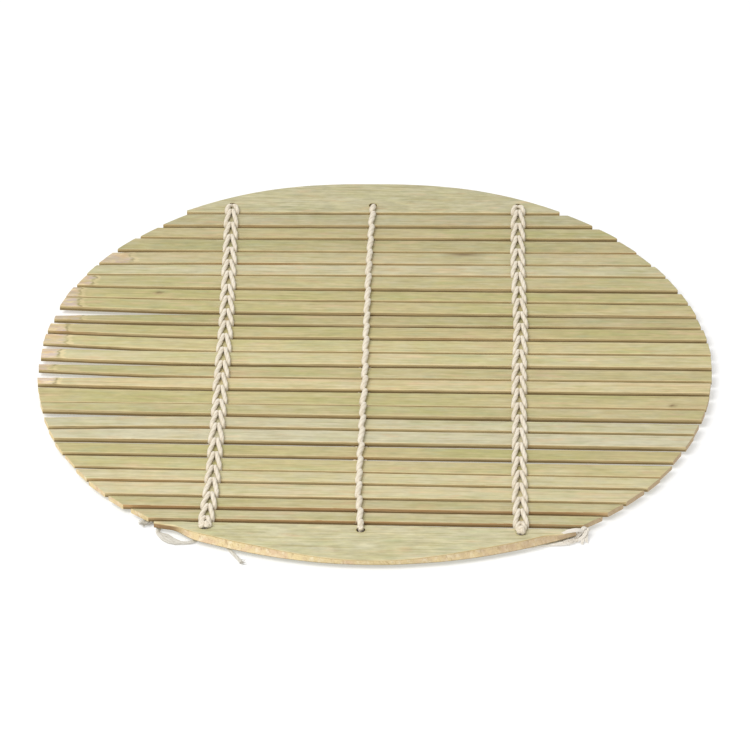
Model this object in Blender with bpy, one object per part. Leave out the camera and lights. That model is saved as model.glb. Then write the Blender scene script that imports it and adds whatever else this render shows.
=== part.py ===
"""Round bamboo steamer mat: split bamboo slats laced side by side with three rows of cotton twine.

The mat lies flat with its slats along X, its rear at +Y and its upper side at +Z.
Sizes are in millimetres up to the last step, where MM turns them into metres.
"""

import math
from collections import namedtuple

import bmesh
import bpy
from mathutils import Matrix, Vector

MM = 0.001

# Driving dimensions of the mat
CUT_RADIUS = 109.3
CUT_PASSES = 4
CLEARANCE = 0.32
CORD_HEIGHT = 1.2
UNDERSIDE_Z = CORD_HEIGHT + CLEARANCE
EASED_EDGE = 0.3
TIP_BLUNTNESS = 1.0

# Bend of the slat tips: a slat is held straight between the outer lacing rows
HELD_HALF_LENGTH = 50.0
STRAY_REACH = 50.0
STRAY_POWER = 1.5
BEND_STATIONS_X = (-90.0, -78.0, -66.0, -HELD_HALF_LENGTH)
BEND_MARGIN = 4.0

# Cotton twine
CORD_WIDTH = 1.6
NECK_RISE = 0.35
SETTLE = 0.04
DIP_AT_GAP = 0.35
POST_HALF_DEPTH = 0.6
TIE_TOP = 0.9 * CORD_HEIGHT
TIE_FOOT = 0.5 * CORD_HEIGHT

# A chain link seen from above: half widths, and lengths from its neck's middle
LINK_TIP = 0.66
LINK_NECK = 1.1
LINK_SPREAD = 2.4
LINK_TOE = 2.0
LINK_OVERLAP = 0.9
LINK_SHOULDER = 0.45
LINK_HEEL = 0.5
LINK_ARCH = 0.15
LINK_NOTCH = 0.3
LAST_LINK_WAIST = 1.28
LAST_LINK_TIP = 0.8

# Knots, as balls sunk into the last link
KNOT_SEAT = 0.84
KNOT_SHARE = 0.4
KNOT_FINENESS = 2

# Drilled lacing holes in the end slats
HOLE_RADIUS = 1.35
HOLE_FACETS = 16
DRILL_LENGTH = 12.0
REAR_HOLE_INSET = 4.4
FRONT_HOLE_INSET = 2.6

# Loose thread ends
THREAD_DIAMETER = 1.1
THREAD_Z = 0.58
THREAD_STEPS = 2
THREAD_ROUNDNESS = 2

# The wide slats that close the mat. fullness: how square its arc is. turn: degrees seen from above.
# chip: how much narrower its left tip is, where a sliver has split away.
ARC_STEPS = 20
CHIP_START = 0.85
EndSlat = namedtuple("EndSlat", "name depth half_length centre_x fullness turn thick chip")
REAR_END = EndSlat("end_slat_rear", 18.7, 64.0, -2.3, 2.5, 0.75, 1.9, 0.0)
FRONT_END = EndSlat("end_slat_front", 18.1, 65.0, -1.8, 2.0, -0.80, 1.9, 2.0)

# One row for each narrow slat, rear to front. gap: space behind it. turn: degrees seen from above.
# left and right: how far its ends stand past the cutting circle.
# back and face: how far the left tips of its rear and front edges stray to the rear.
Slat = namedtuple("Slat", "gap width thick turn left right back face")
SLATS = [
    Slat(1.3, 6.7, 1.8, 0.77, 0.9, 1.9, 0.0, 0.0),
    Slat(1.7, 6.0, 1.6, 0.70, 0.7, 2.0, 0.0, 0.6),
    Slat(1.5, 6.8, 1.5, 0.49, 1.4, 0.9, 1.0, 0.6),
    Slat(1.2, 6.6, 1.6, 0.49, 0.9, 0.1, -1.0, -0.8),
    Slat(1.3, 6.0, 1.7, 0.59, 0.6, 0.4, -0.8, -0.2),
    Slat(1.2, 7.1, 1.8, 0.44, 0.1, 0.0, -0.2, 0.9),
    Slat(1.6, 5.6, 1.6, 0.21, 0.6, 0.1, 1.0, 0.9),
    Slat(1.3, 6.4, 1.8, 0.03, 0.2, 0.0, 1.0, 1.8),
    Slat(1.8, 5.1, 1.7, 0.12, -0.4, -0.3, -1.3, 1.2),
    Slat(1.6, 5.9, 1.6, 0.32, 0.0, 0.1, 0.9, 2.2),
    Slat(1.6, 6.7, 1.5, 0.26, 0.1, 0.2, 1.9, 2.9),
    Slat(1.2, 6.5, 1.7, 0.19, -0.2, 0.0, 0.9, 1.9),
    Slat(1.6, 5.8, 1.5, 0.10, 0.2, 0.0, 0.2, 2.2),
    Slat(1.2, 5.7, 1.7, -0.02, 0.6, -0.2, -0.8, 1.0),
    Slat(1.6, 7.0, 1.5, 0.00, 0.7, 0.0, 0.8, 0.0),
    Slat(1.1, 5.2, 1.9, -0.25, 1.0, 0.0, -0.2, 0.8),
    Slat(1.8, 5.3, 1.7, -0.57, 1.5, -0.1, -1.7, -1.5),
    Slat(1.5, 6.4, 1.8, -0.43, 1.9, 0.3, -1.5, 0.0),
    Slat(2.0, 5.3, 1.5, -0.45, 2.4, -0.1, 0.0, 0.0),
    Slat(1.8, 6.1, 1.3, -0.67, 2.3, 0.8, 0.0, 0.8),
    Slat(1.1, 5.4, 1.6, -0.67, 3.1, 1.5, -0.6, 0.0),
    Slat(1.4, 6.4, 1.7, -0.64, 3.6, 1.5, -0.2, 0.0),
    Slat(1.4, 4.6, 1.8, -0.50, 4.0, 1.8, 0.0, 0.0),
    Slat(1.8, 4.6, 1.7, -0.59, 3.6, 2.4, -0.3, 0.0),
]
FRONT_GAP = 2.3

# Where each lacing row runs: its X at stations from the rear hole to the front hole.
# chain_above: whether its chain lies on the upper side. knot: its knot's radius.
ROW_STATIONS_Y = (95.0, 60.0, 20.0, -15.0, -45.0, -72.0, -94.0)
Lacing = namedtuple("Lacing", "name chain_above knot stations_x")
LACINGS = (
    Lacing("lacing_left", True, 1.3, (-50.9, -50.3, -49.6, -49.7, -49.6, -49.8, -51.0)),
    Lacing("lacing_centre", False, 0.9, (-2.5, -3.2, -3.4, -3.4, -3.8, -4.2, -3.0)),
    Lacing("lacing_right", True, 1.3, (47.4, 46.9, 47.4, 46.5, 46.3, 46.0, 46.2)),
)

# Routes of the loose thread ends, as points seen from above
LEFT_THREAD = ((-56.0, -91.9), (-53.9, -92.0), (-52.8, -94.0), (-53.5, -95.9), (-55.4, -97.0), (-58.2, -97.2),
               (-61.2, -96.4), (-63.8, -94.7), (-65.5, -92.4), (-65.5, -90.2), (-65.1, -88.4), (-66.3, -86.8),
               (-68.4, -86.7), (-70.2, -87.8))
RIGHT_THREAD = ((43.6, -91.6), (43.3, -94.0), (44.2, -96.2), (46.4, -97.5), (49.2, -97.2), (52.2, -96.5),
                (55.2, -96.1), (58.2, -95.4), (61.0, -94.0), (63.4, -92.0), (65.2, -89.7), (65.6, -87.6))
LEFT_STUB = ((-45.8, -95.2), (-44.8, -97.4), (-43.6, -99.6), (-42.2, -101.9), (-40.6, -104.4), (-39.1, -106.9))

# Base colours and roughnesses
BAMBOO_TONES = ((0.55, 0.50, 0.25), (0.50, 0.46, 0.27), (0.53, 0.45, 0.25), (0.48, 0.47, 0.26))
BAMBOO_ROUGHNESS = 0.55
COTTON_COLOUR = (0.83, 0.77, 0.65)
COTTON_ROUGHNESS = 0.9


def clear_scene():
    """Remove what the scene holds."""
    for old in list(bpy.data.objects):
        bpy.data.objects.remove(old)


def make_collection(name, hidden=False):
    """Return a new collection in the scene."""
    collection = bpy.data.collections.new(name)
    collection.hide_render = hidden
    bpy.context.scene.collection.children.link(collection)
    return collection


def make_material(name, colour, roughness):
    """Return a Principled material of one colour."""
    material = bpy.data.materials.new(name)
    material.use_nodes = True
    shader = material.node_tree.nodes["Principled BSDF"]
    shader.inputs["Base Color"].default_value = (*colour, 1.0)
    shader.inputs["Roughness"].default_value = roughness
    shader.inputs["Metallic"].default_value = 0.0
    material.diffuse_color = (*colour, 1.0)
    return material


def as_mesh_object(source, collection):
    """Return a mesh object with the evaluated shape of a curve object, which is removed."""
    bpy.context.view_layer.update()
    graph = bpy.context.evaluated_depsgraph_get()
    mesh = bpy.data.meshes.new_from_object(source.evaluated_get(graph))
    shape = bmesh.new()
    shape.from_mesh(mesh)
    bmesh.ops.remove_doubles(shape, verts=shape.verts, dist=0.00001)
    shape.to_mesh(mesh)
    shape.free()
    result = bpy.data.objects.new(source.name + "_mesh", mesh)
    result.matrix_world = source.matrix_world
    collection.objects.link(result)
    bpy.data.objects.remove(source)
    return result


def plate_curve(name, outline, thick, ease, collection):
    """Return a flat plate, its edges eased by ease, whose outline is a closed polygon in its own frame."""
    curve = bpy.data.curves.new(name, "CURVE")
    curve.dimensions = "2D"
    curve.fill_mode = "BOTH"
    curve.extrude = (thick / 2 - ease) * MM
    curve.bevel_depth = ease * MM
    curve.offset = -ease * MM
    curve.bevel_resolution = 0
    spline = curve.splines.new("POLY")
    spline.points.add(len(outline) - 1)
    for point, (x, y) in zip(spline.points, outline):
        point.co = (x * MM, y * MM, 0.0, 1.0)
    spline.use_cyclic_u = True
    plate = bpy.data.objects.new(name, curve)
    collection.objects.link(plate)
    return plate


def in_own_frame(points, centre_y, turn):
    """Return points seen from above, moved into the frame of a piece at centre_y turned by turn."""
    c = math.cos(-turn)
    s = math.sin(-turn)
    return [(x * c - (y - centre_y) * s, x * s + (y - centre_y) * c) for x, y in points]


class Layout:
    """Where each slat's edges lie along Y, as running totals of the widths and gaps."""

    def __init__(self):
        depth = REAR_END.depth + FRONT_END.depth + FRONT_GAP + sum(s.gap + s.width for s in SLATS)
        y = depth / 2 - REAR_END.depth
        self.rear_chord = y
        self.edges = []
        for slat in SLATS:
            y -= slat.gap
            self.edges.append((y, y - slat.width))
            y -= slat.width
        self.front_chord = y - FRONT_GAP

    def gap_at(self, index, x):
        """Return the middle and the width of the gap behind slat index, at X."""
        turns = [REAR_END.turn] + [s.turn for s in SLATS] + [FRONT_END.turn]
        before = [self.rear_chord] + [front for _, front in self.edges]
        after = [rear for rear, _ in self.edges] + [self.front_chord]
        high = before[index] + x * math.tan(math.radians(turns[index]))
        low = after[index] + x * math.tan(math.radians(turns[index + 1]))
        return (high + low) / 2, high - low


def stray(x, amount):
    """Return how far an edge has bent to the rear at X, on the left tip only."""
    past = max(0.0, -x - HELD_HALF_LENGTH) / STRAY_REACH
    return amount * past**STRAY_POWER


def edge_points(edge_y, turn, amount, left, right):
    """Return a slat's long edge from its left sawn end to its right one."""
    slope = math.tan(turn)

    def height(x):
        return edge_y + x * slope + stray(x, amount)

    ends = []
    for side, reach in ((-1, left), (1, right)):
        x = 0.0
        for _ in range(CUT_PASSES):
            x = side * (math.sqrt(CUT_RADIUS**2 - height(x) ** 2) + reach)
        ends.append(x)
    bends = [x for x in BEND_STATIONS_X if x > ends[0] + BEND_MARGIN]
    return [(x, height(x)) for x in (ends[0], *bends, ends[1])]


def build_slats(layout, parts, root):
    """Make the narrow slats, each sawn at its ends along the mat's circle."""
    for number, (slat, (rear, front)) in enumerate(zip(SLATS, layout.edges), start=1):
        name = f"slat_{number:02d}"
        turn = math.radians(slat.turn)
        back = edge_points(rear, turn, slat.back, slat.left, slat.right)
        face = edge_points(front, turn, slat.face, slat.left, slat.right)
        centre_y = (rear + front) / 2
        outline = in_own_frame(face + back[::-1], centre_y, turn)
        piece = plate_curve(name, outline, slat.thick, EASED_EDGE, parts)
        piece.parent = root
        piece.location = (0.0, centre_y * MM, (UNDERSIDE_Z + slat.thick / 2) * MM)
        piece.rotation_euler = (0.0, 0.0, turn)
        tone = BAMBOO_TONES[number % len(BAMBOO_TONES)]
        piece.data.materials.append(make_material(name + "_bamboo", tone, BAMBOO_ROUGHNESS))


def d_outline(end, side):
    """Return the D outline of an end slat about the middle of its straight edge."""
    outline = [(end.centre_x + end.half_length, 0.0)]
    for k in range(ARC_STEPS + 1):
        x = end.half_length * math.cos(math.pi * k / ARC_STEPS)
        reach = (end.depth - TIP_BLUNTNESS) * (1 - abs(x / end.half_length) ** end.fullness)
        if x < -CHIP_START * end.half_length:
            reach -= min(end.chip, reach / 2)
        outline.append((end.centre_x + x, side * (TIP_BLUNTNESS + reach)))
    outline.append((end.centre_x - end.half_length, 0.0))
    return outline


def build_end_slat(end, chord_y, side, hole_inset, parts, cutters, root):
    """Make one end slat, with its three lacing holes drilled through."""
    turn = math.radians(end.turn)
    plate = plate_curve(end.name, d_outline(end, side), end.thick, EASED_EDGE, parts)
    plate.location = (0.0, chord_y * MM, (UNDERSIDE_Z + end.thick / 2) * MM)
    plate.rotation_euler = (0.0, 0.0, turn)
    piece = as_mesh_object(plate, parts)
    piece.name = end.name
    piece.parent = root
    piece.data.materials.clear()
    piece.data.materials.append(make_material(end.name + "_bamboo", BAMBOO_TONES[0], BAMBOO_ROUGHNESS))
    for lacing in LACINGS:
        x = row_x(lacing, chord_y + side * hole_inset)
        bpy.ops.mesh.primitive_cylinder_add(vertices=HOLE_FACETS, radius=HOLE_RADIUS * MM,
                                            depth=DRILL_LENGTH * MM)
        drill = bpy.context.object
        drill.name = f"drill_{end.name}_{lacing.name}"
        drill.location = (x * MM, hole_y(end, chord_y, side, hole_inset, x) * MM, piece.location.z)
        drill.parent = root
        drill.hide_render = True
        drill.display_type = "WIRE"
        for holder in list(drill.users_collection):
            holder.objects.unlink(drill)
        cutters.objects.link(drill)
        cut = piece.modifiers.new(drill.name, "BOOLEAN")
        cut.operation = "DIFFERENCE"
        cut.object = drill


def hole_y(end, chord_y, side, inset, x):
    """Return the Y of a lacing hole that lies at X, set in from the turned straight edge."""
    return chord_y + x * math.tan(math.radians(end.turn)) + side * inset


def row_x(lacing, y):
    """Return the X of a lacing row at Y, by straight lines between its stations."""
    ys = ROW_STATIONS_Y
    xs = lacing.stations_x
    if y >= ys[0]:
        return xs[0]
    for k in range(len(ys) - 1):
        if y >= ys[k + 1]:
            share = (y - ys[k]) / (ys[k + 1] - ys[k])
            return xs[k] + share * (xs[k + 1] - xs[k])
    return xs[-1]


def link_outline(length, last):
    """Return a chain link seen from above, an inverted V from its neck at the origin to its feet."""
    half = [(LINK_TIP, LINK_OVERLAP), (LINK_NECK, LINK_SHOULDER)]
    if last:
        half += [(LAST_LINK_WAIST, -length / 2), (LAST_LINK_TIP, -length)]
        return half + [(-x, y) for x, y in reversed(half)]
    inner = LINK_SPREAD - CORD_WIDTH
    half += [(LINK_SPREAD, LINK_HEEL - length), (LINK_TOE, -length), (inner, LINK_ARCH - length)]
    return half + [(0.0, -LINK_NOTCH * length)] + [(-x, y) for x, y in reversed(half)]


def add_links(shape, lacing, crossings, heights, parity, cutters):
    """Add every second link of a chain to a mesh, each with its neck on the feet of the link before it."""
    for k in range(parity, len(crossings) - 1, 2):
        start, end = crossings[k], crossings[k + 1]
        outline = link_outline(start - end, k == len(crossings) - 2)
        if lacing.chain_above:
            neck_z = max(heights[max(k - 1, 0)], heights[k]) + NECK_RISE
            tilt = math.atan2(neck_z - heights[k], start - end)
            thick = CORD_HEIGHT
            z = neck_z + CLEARANCE + thick / 2
        else:
            tilt = 0.0
            thick = CORD_HEIGHT - parity * SETTLE
            z = CORD_HEIGHT / 2
        swing = math.atan2(row_x(lacing, end) - row_x(lacing, start), start - end)
        plate = plate_curve("link", outline, thick, 0.0, cutters)
        plate.location = (row_x(lacing, start) * MM, start * MM, z * MM)
        plate.rotation_euler = (tilt, 0.0, swing)
        link = as_mesh_object(plate, cutters)
        link.data.transform(link.matrix_world)
        shape.from_mesh(link.data)
        bpy.data.objects.remove(link)


def ladder_outline(lacing, crossings, halves, heights):
    """Return a row's side view, as Y and Z: its running strand with a tie through each hole and gap."""
    if lacing.chain_above:
        outline = [(crossings[0] + halves[0], 0.0)]
        for k, (y, half) in enumerate(zip(crossings, halves)):
            top = max(heights[max(k - 1, 0)], heights[min(k, len(heights) - 1)]) + CLEARANCE + TIE_TOP
            outline += [(y + half, CORD_HEIGHT), (y + half, top), (y - half, top), (y - half, CORD_HEIGHT)]
        del outline[1], outline[-1]
        return outline + [(crossings[-1] - halves[-1], 0.0)]
    over = CLEARANCE + CORD_HEIGHT
    outline = [(crossings[0] + halves[0], heights[0] + over)]
    for k in range(1, len(crossings) - 1):
        y, half = crossings[k], halves[k]
        low = max(heights[k - 1], heights[k]) + over - DIP_AT_GAP
        outline += [(y + half, heights[k - 1] + over), (y, low), (y - half, heights[k] + over)]
    outline.append((crossings[-1] - halves[-1], heights[-1] + over))
    ties = []
    for k, (y, half) in enumerate(zip(crossings, halves)):
        behind = heights[max(k - 1, 0)] + CLEARANCE
        ahead = heights[min(k, len(heights) - 1)] + CLEARANCE
        ties += [(y + half, behind), (y + half, TIE_FOOT), (y - half, TIE_FOOT), (y - half, ahead)]
    return outline + ties[-2:0:-1]


def build_lacing(lacing, layout, parts, cutters, root):
    """Make one lacing row: chain on one side, running strand on the other, joined through each gap."""
    heights = [UNDERSIDE_Z + t for t in (REAR_END.thick, *(s.thick for s in SLATS), FRONT_END.thick)]
    x_rear = row_x(lacing, layout.rear_chord + REAR_HOLE_INSET)
    x_front = row_x(lacing, layout.front_chord - FRONT_HOLE_INSET)
    gaps = [layout.gap_at(k, row_x(lacing, layout.gap_at(k, 0.0)[0])) for k in range(len(SLATS) + 1)]
    rear_hole = hole_y(REAR_END, layout.rear_chord, 1, REAR_HOLE_INSET, x_rear)
    front_hole = hole_y(FRONT_END, layout.front_chord, -1, FRONT_HOLE_INSET, x_front)
    crossings = [rear_hole, *(middle for middle, _ in gaps), front_hole]
    halves = [POST_HALF_DEPTH, *(width / 2 - CLEARANCE for _, width in gaps), POST_HALF_DEPTH]

    side_view = ladder_outline(lacing, crossings, halves, heights)
    ladder = plate_curve(lacing.name, side_view, CORD_WIDTH, 0.0, parts)
    ladder.rotation_euler = (math.pi / 2, 0.0, math.pi / 2)
    body = as_mesh_object(ladder, parts)
    for corner in body.data.vertices:
        corner.co.z += row_x(lacing, corner.co.x / MM) * MM
    body.name = lacing.name
    body.parent = root
    body.data.materials.clear()
    body.data.materials.append(make_material(lacing.name + "_cotton", COTTON_COLOUR, COTTON_ROUGHNESS))

    for parity in (0, 1):
        shape = bmesh.new()
        add_links(shape, lacing, crossings, heights, parity, cutters)
        if parity == 0:
            level = heights[-1] + CLEARANCE + KNOT_SEAT + KNOT_SHARE * lacing.knot
            seat = Matrix.Translation(Vector((x_front, front_hole, level)) * MM)
            bmesh.ops.create_icosphere(shape, subdivisions=KNOT_FINENESS, radius=lacing.knot * MM, matrix=seat)
        mesh = bpy.data.meshes.new(f"{lacing.name}_links_{parity}")
        shape.to_mesh(mesh)
        shape.free()
        links = bpy.data.objects.new(mesh.name, mesh)
        links.hide_render = True
        links.display_type = "WIRE"
        cutters.objects.link(links)
        join = body.modifiers.new(links.name, "BOOLEAN")
        join.operation = "UNION"
        join.solver = "MANIFOLD"
        join.object = links


def smooth_route(points, steps):
    """Return points read from a smooth curve through a route's own points."""
    places = [Vector(point) for point in points]
    held = [2 * places[0] - places[1], *places, 2 * places[-1] - places[-2]]
    route = []
    for a, b, c, d in zip(held, held[1:], held[2:], held[3:]):
        for k in range(steps):
            t = k / steps
            route.append(0.5 * (2 * b + (c - a) * t + (2 * a - 5 * b + 4 * c - d) * t**2
                                + (3 * b - a - 3 * c + d) * t**3))
    route.append(places[-1])
    return route


def build_thread(name, route, parts, root):
    """Make one loose thread end, lying under and beside the front end slat."""
    curve = bpy.data.curves.new(name, "CURVE")
    curve.dimensions = "3D"
    curve.bevel_depth = THREAD_DIAMETER / 2 * MM
    curve.bevel_resolution = THREAD_ROUNDNESS
    curve.use_fill_caps = True
    points = smooth_route([(x, y, THREAD_Z) for x, y in route], THREAD_STEPS)
    spline = curve.splines.new("POLY")
    spline.points.add(len(points) - 1)
    for point, place in zip(spline.points, points):
        point.co = (*(place * MM), 1.0)
    piece = bpy.data.objects.new(name, curve)
    piece.parent = root
    parts.objects.link(piece)
    curve.materials.append(make_material(name + "_cotton", COTTON_COLOUR, COTTON_ROUGHNESS))


def main():
    """Build the mat."""
    clear_scene()
    parts = make_collection("bamboo_steamer_mat")
    cutters = make_collection("cutters", hidden=True)
    root = bpy.data.objects.new("mat_origin", None)
    parts.objects.link(root)
    layout = Layout()
    build_end_slat(REAR_END, layout.rear_chord, 1, REAR_HOLE_INSET, parts, cutters, root)
    build_end_slat(FRONT_END, layout.front_chord, -1, FRONT_HOLE_INSET, parts, cutters, root)
    build_slats(layout, parts, root)
    for lacing in LACINGS:
        build_lacing(lacing, layout, parts, cutters, root)
    build_thread("thread_end_left", LEFT_THREAD, parts, root)
    build_thread("thread_end_right", RIGHT_THREAD, parts, root)
    build_thread("thread_stub_left", LEFT_STUB, parts, root)


main()
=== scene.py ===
"""Round bamboo steamer mat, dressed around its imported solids.

Split bamboo slats lie along X, three rows of chain-stitched cotton twine hold them side by side, and a
wide D-shaped slat closes the mat at the rear (+Y) and at the front (-Y). Lengths are in metres: a value
written in millimetres is multiplied by MM where it is named.
"""

import logging
import math
import random
from collections.abc import Mapping, Sequence
from dataclasses import dataclass, field, replace
from enum import Enum

import bmesh
import bpy
from mathutils import Matrix, Quaternion, Vector


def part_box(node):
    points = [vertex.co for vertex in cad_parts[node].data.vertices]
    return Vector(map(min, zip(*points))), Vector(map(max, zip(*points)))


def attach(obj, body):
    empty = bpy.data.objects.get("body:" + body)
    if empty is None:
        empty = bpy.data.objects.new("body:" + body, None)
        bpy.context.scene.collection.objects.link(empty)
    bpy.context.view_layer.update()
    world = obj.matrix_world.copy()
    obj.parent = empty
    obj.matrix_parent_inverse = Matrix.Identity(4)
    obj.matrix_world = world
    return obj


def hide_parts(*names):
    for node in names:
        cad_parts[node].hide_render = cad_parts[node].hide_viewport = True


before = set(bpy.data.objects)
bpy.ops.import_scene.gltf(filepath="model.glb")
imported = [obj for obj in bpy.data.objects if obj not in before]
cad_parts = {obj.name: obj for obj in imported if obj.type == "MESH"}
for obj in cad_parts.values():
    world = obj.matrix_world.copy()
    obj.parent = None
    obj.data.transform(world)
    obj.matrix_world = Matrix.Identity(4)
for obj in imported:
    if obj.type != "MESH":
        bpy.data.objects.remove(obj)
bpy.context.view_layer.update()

LOG = logging.getLogger("steamer_mat")

MM = 0.001
BODY = "root"

Colour = tuple[float, float, float]
Point2 = tuple[float, float]
Point3 = tuple[float, float, float]
Socket = bpy.types.NodeSocket


class Slot(Enum):
    """The record's material slots."""

    SLAT = "bamboo_slat"
    END_SLAT = "bamboo_end_slat"
    TWINE = "cotton_twine"
    THREAD_END = "cotton_thread_end"


class Side(Enum):
    """Which face of the mat a strand lies on."""

    UPPER = 1
    UNDER = -1


class Mark(Enum):
    """What a growth mark on a slat looks like."""

    RING = "ring"
    KNOT = "knot"


# Levels shared by the slats and the twine
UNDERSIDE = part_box("slat_01")[0][2]
EASED_EDGE = 0.30 * MM
CAD_EASED_EDGE = 0.30 * MM

# Where each lacing row runs: its X at stations from the rear hole to the front hole
ROW_STATIONS_Y = (95.0, 60.0, 20.0, -15.0, -45.0, -72.0, -94.0)
ROW_LEFT_X = (-50.9, -50.3, -49.6, -49.7, -49.6, -49.8, -51.0)
ROW_CENTRE_X = (-2.5, -3.2, -3.4, -3.4, -3.8, -4.2, -3.0)
ROW_RIGHT_X = (47.4, 46.9, 47.4, 46.5, 46.3, 46.0, 46.2)

# Routes of the loose thread ends, as points seen from above in millimetres
THREAD_DIAMETER = 1.1 * MM
THREAD_LEVEL = 0.58 * MM
LEFT_THREAD = (
    (-56.0, -91.9), (-53.9, -92.0), (-52.8, -94.0), (-53.5, -95.9), (-55.4, -97.0), (-58.2, -97.2),
    (-61.2, -96.4), (-63.8, -94.7), (-65.5, -92.4), (-65.5, -90.2), (-65.1, -88.4), (-66.3, -86.8),
    (-68.4, -86.7), (-70.2, -87.8),
)
RIGHT_THREAD = (
    (43.6, -91.6), (43.3, -94.0), (44.2, -96.2), (46.4, -97.5), (49.2, -97.2), (52.2, -96.5),
    (55.2, -96.1), (58.2, -95.4), (61.0, -94.0), (63.4, -92.0), (65.2, -89.7), (65.6, -87.6),
)
LEFT_STUB = (
    (-45.8, -95.2), (-44.8, -97.4), (-43.6, -99.6), (-42.2, -101.9), (-40.6, -104.4), (-39.1, -106.9),
)


# Small tools for curves and outlines


def mm_points(points: Sequence[Point2], level: float) -> list[Vector]:
    """Return points given in millimetres as places in metres at one level.

    Args:
        points: X and Y in millimetres.
        level: Z in metres.

    Returns:
        The places in metres.
    """
    return [Vector((x * MM, y * MM, level)) for x, y in points]


def smooth_through(points: Sequence[Vector], steps: int) -> list[Vector]:
    """Read places from a smooth curve that passes through some points.

    Args:
        points: The points that the curve passes through.
        steps: How many places to read between two points.

    Returns:
        The places, first and last point included.
    """
    held = [2 * points[0] - points[1], *points, 2 * points[-1] - points[-2]]
    places = []
    for a, b, c, d in zip(held, held[1:], held[2:], held[3:]):
        for step in range(steps):
            t = step / steps
            places.append(0.5 * (2 * b + (c - a) * t + (2 * a - 5 * b + 4 * c - d) * t**2
                                 + (3 * b - a - 3 * c + d) * t**3))
    places.append(points[-1].copy())
    return places


def length_of(points: Sequence[Vector]) -> float:
    """Return the length of the line through some points."""
    return sum((b - a).length for a, b in zip(points, points[1:]))


def at_shares(points: Sequence[Vector], shares: Sequence[float]) -> list[Vector]:
    """Read a line at shares of its length.

    Args:
        points: The line's points.
        shares: Rising shares from 0 to 1.

    Returns:
        One place for each share.
    """
    total = length_of(points)
    places = []
    index = 0
    walked = 0.0
    for share in shares:
        goal = share * total
        while index < len(points) - 2 and walked + (points[index + 1] - points[index]).length < goal:
            walked += (points[index + 1] - points[index]).length
            index += 1
        step = (points[index + 1] - points[index]).length
        places.append(points[index].lerp(points[index + 1], (goal - walked) / step))
    return places


def level_at(points: Sequence[Vector], x: float) -> float:
    """Return the Y of a line that runs left to right, at X."""
    for a, b in zip(points, points[1:]):
        if a.x <= x <= b.x:
            return a.y + (b.y - a.y) * (x - a.x) / (b.x - a.x)
    raise ValueError(f"the line does not reach X {x:.4f}")


def ease(share: float) -> float:
    """Return a share from 0 to 1 with a soft start and end."""
    share = min(max(share, 0.0), 1.0)
    return share * share * (3.0 - 2.0 * share)


def between(stations: Sequence[float], values: Sequence[float], place: float) -> float:
    """Read a table with straight lines between its falling stations.

    Args:
        stations: The stations, from the highest to the lowest.
        values: One value for each station.
        place: Where to read.

    Returns:
        The value there, or the nearest end's.
    """
    if place >= stations[0]:
        return values[0]
    for k in range(len(stations) - 1):
        if place >= stations[k + 1]:
            share = (place - stations[k]) / (stations[k + 1] - stations[k])
            return values[k] + share * (values[k + 1] - values[k])
    return values[-1]


# Node trees


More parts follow.
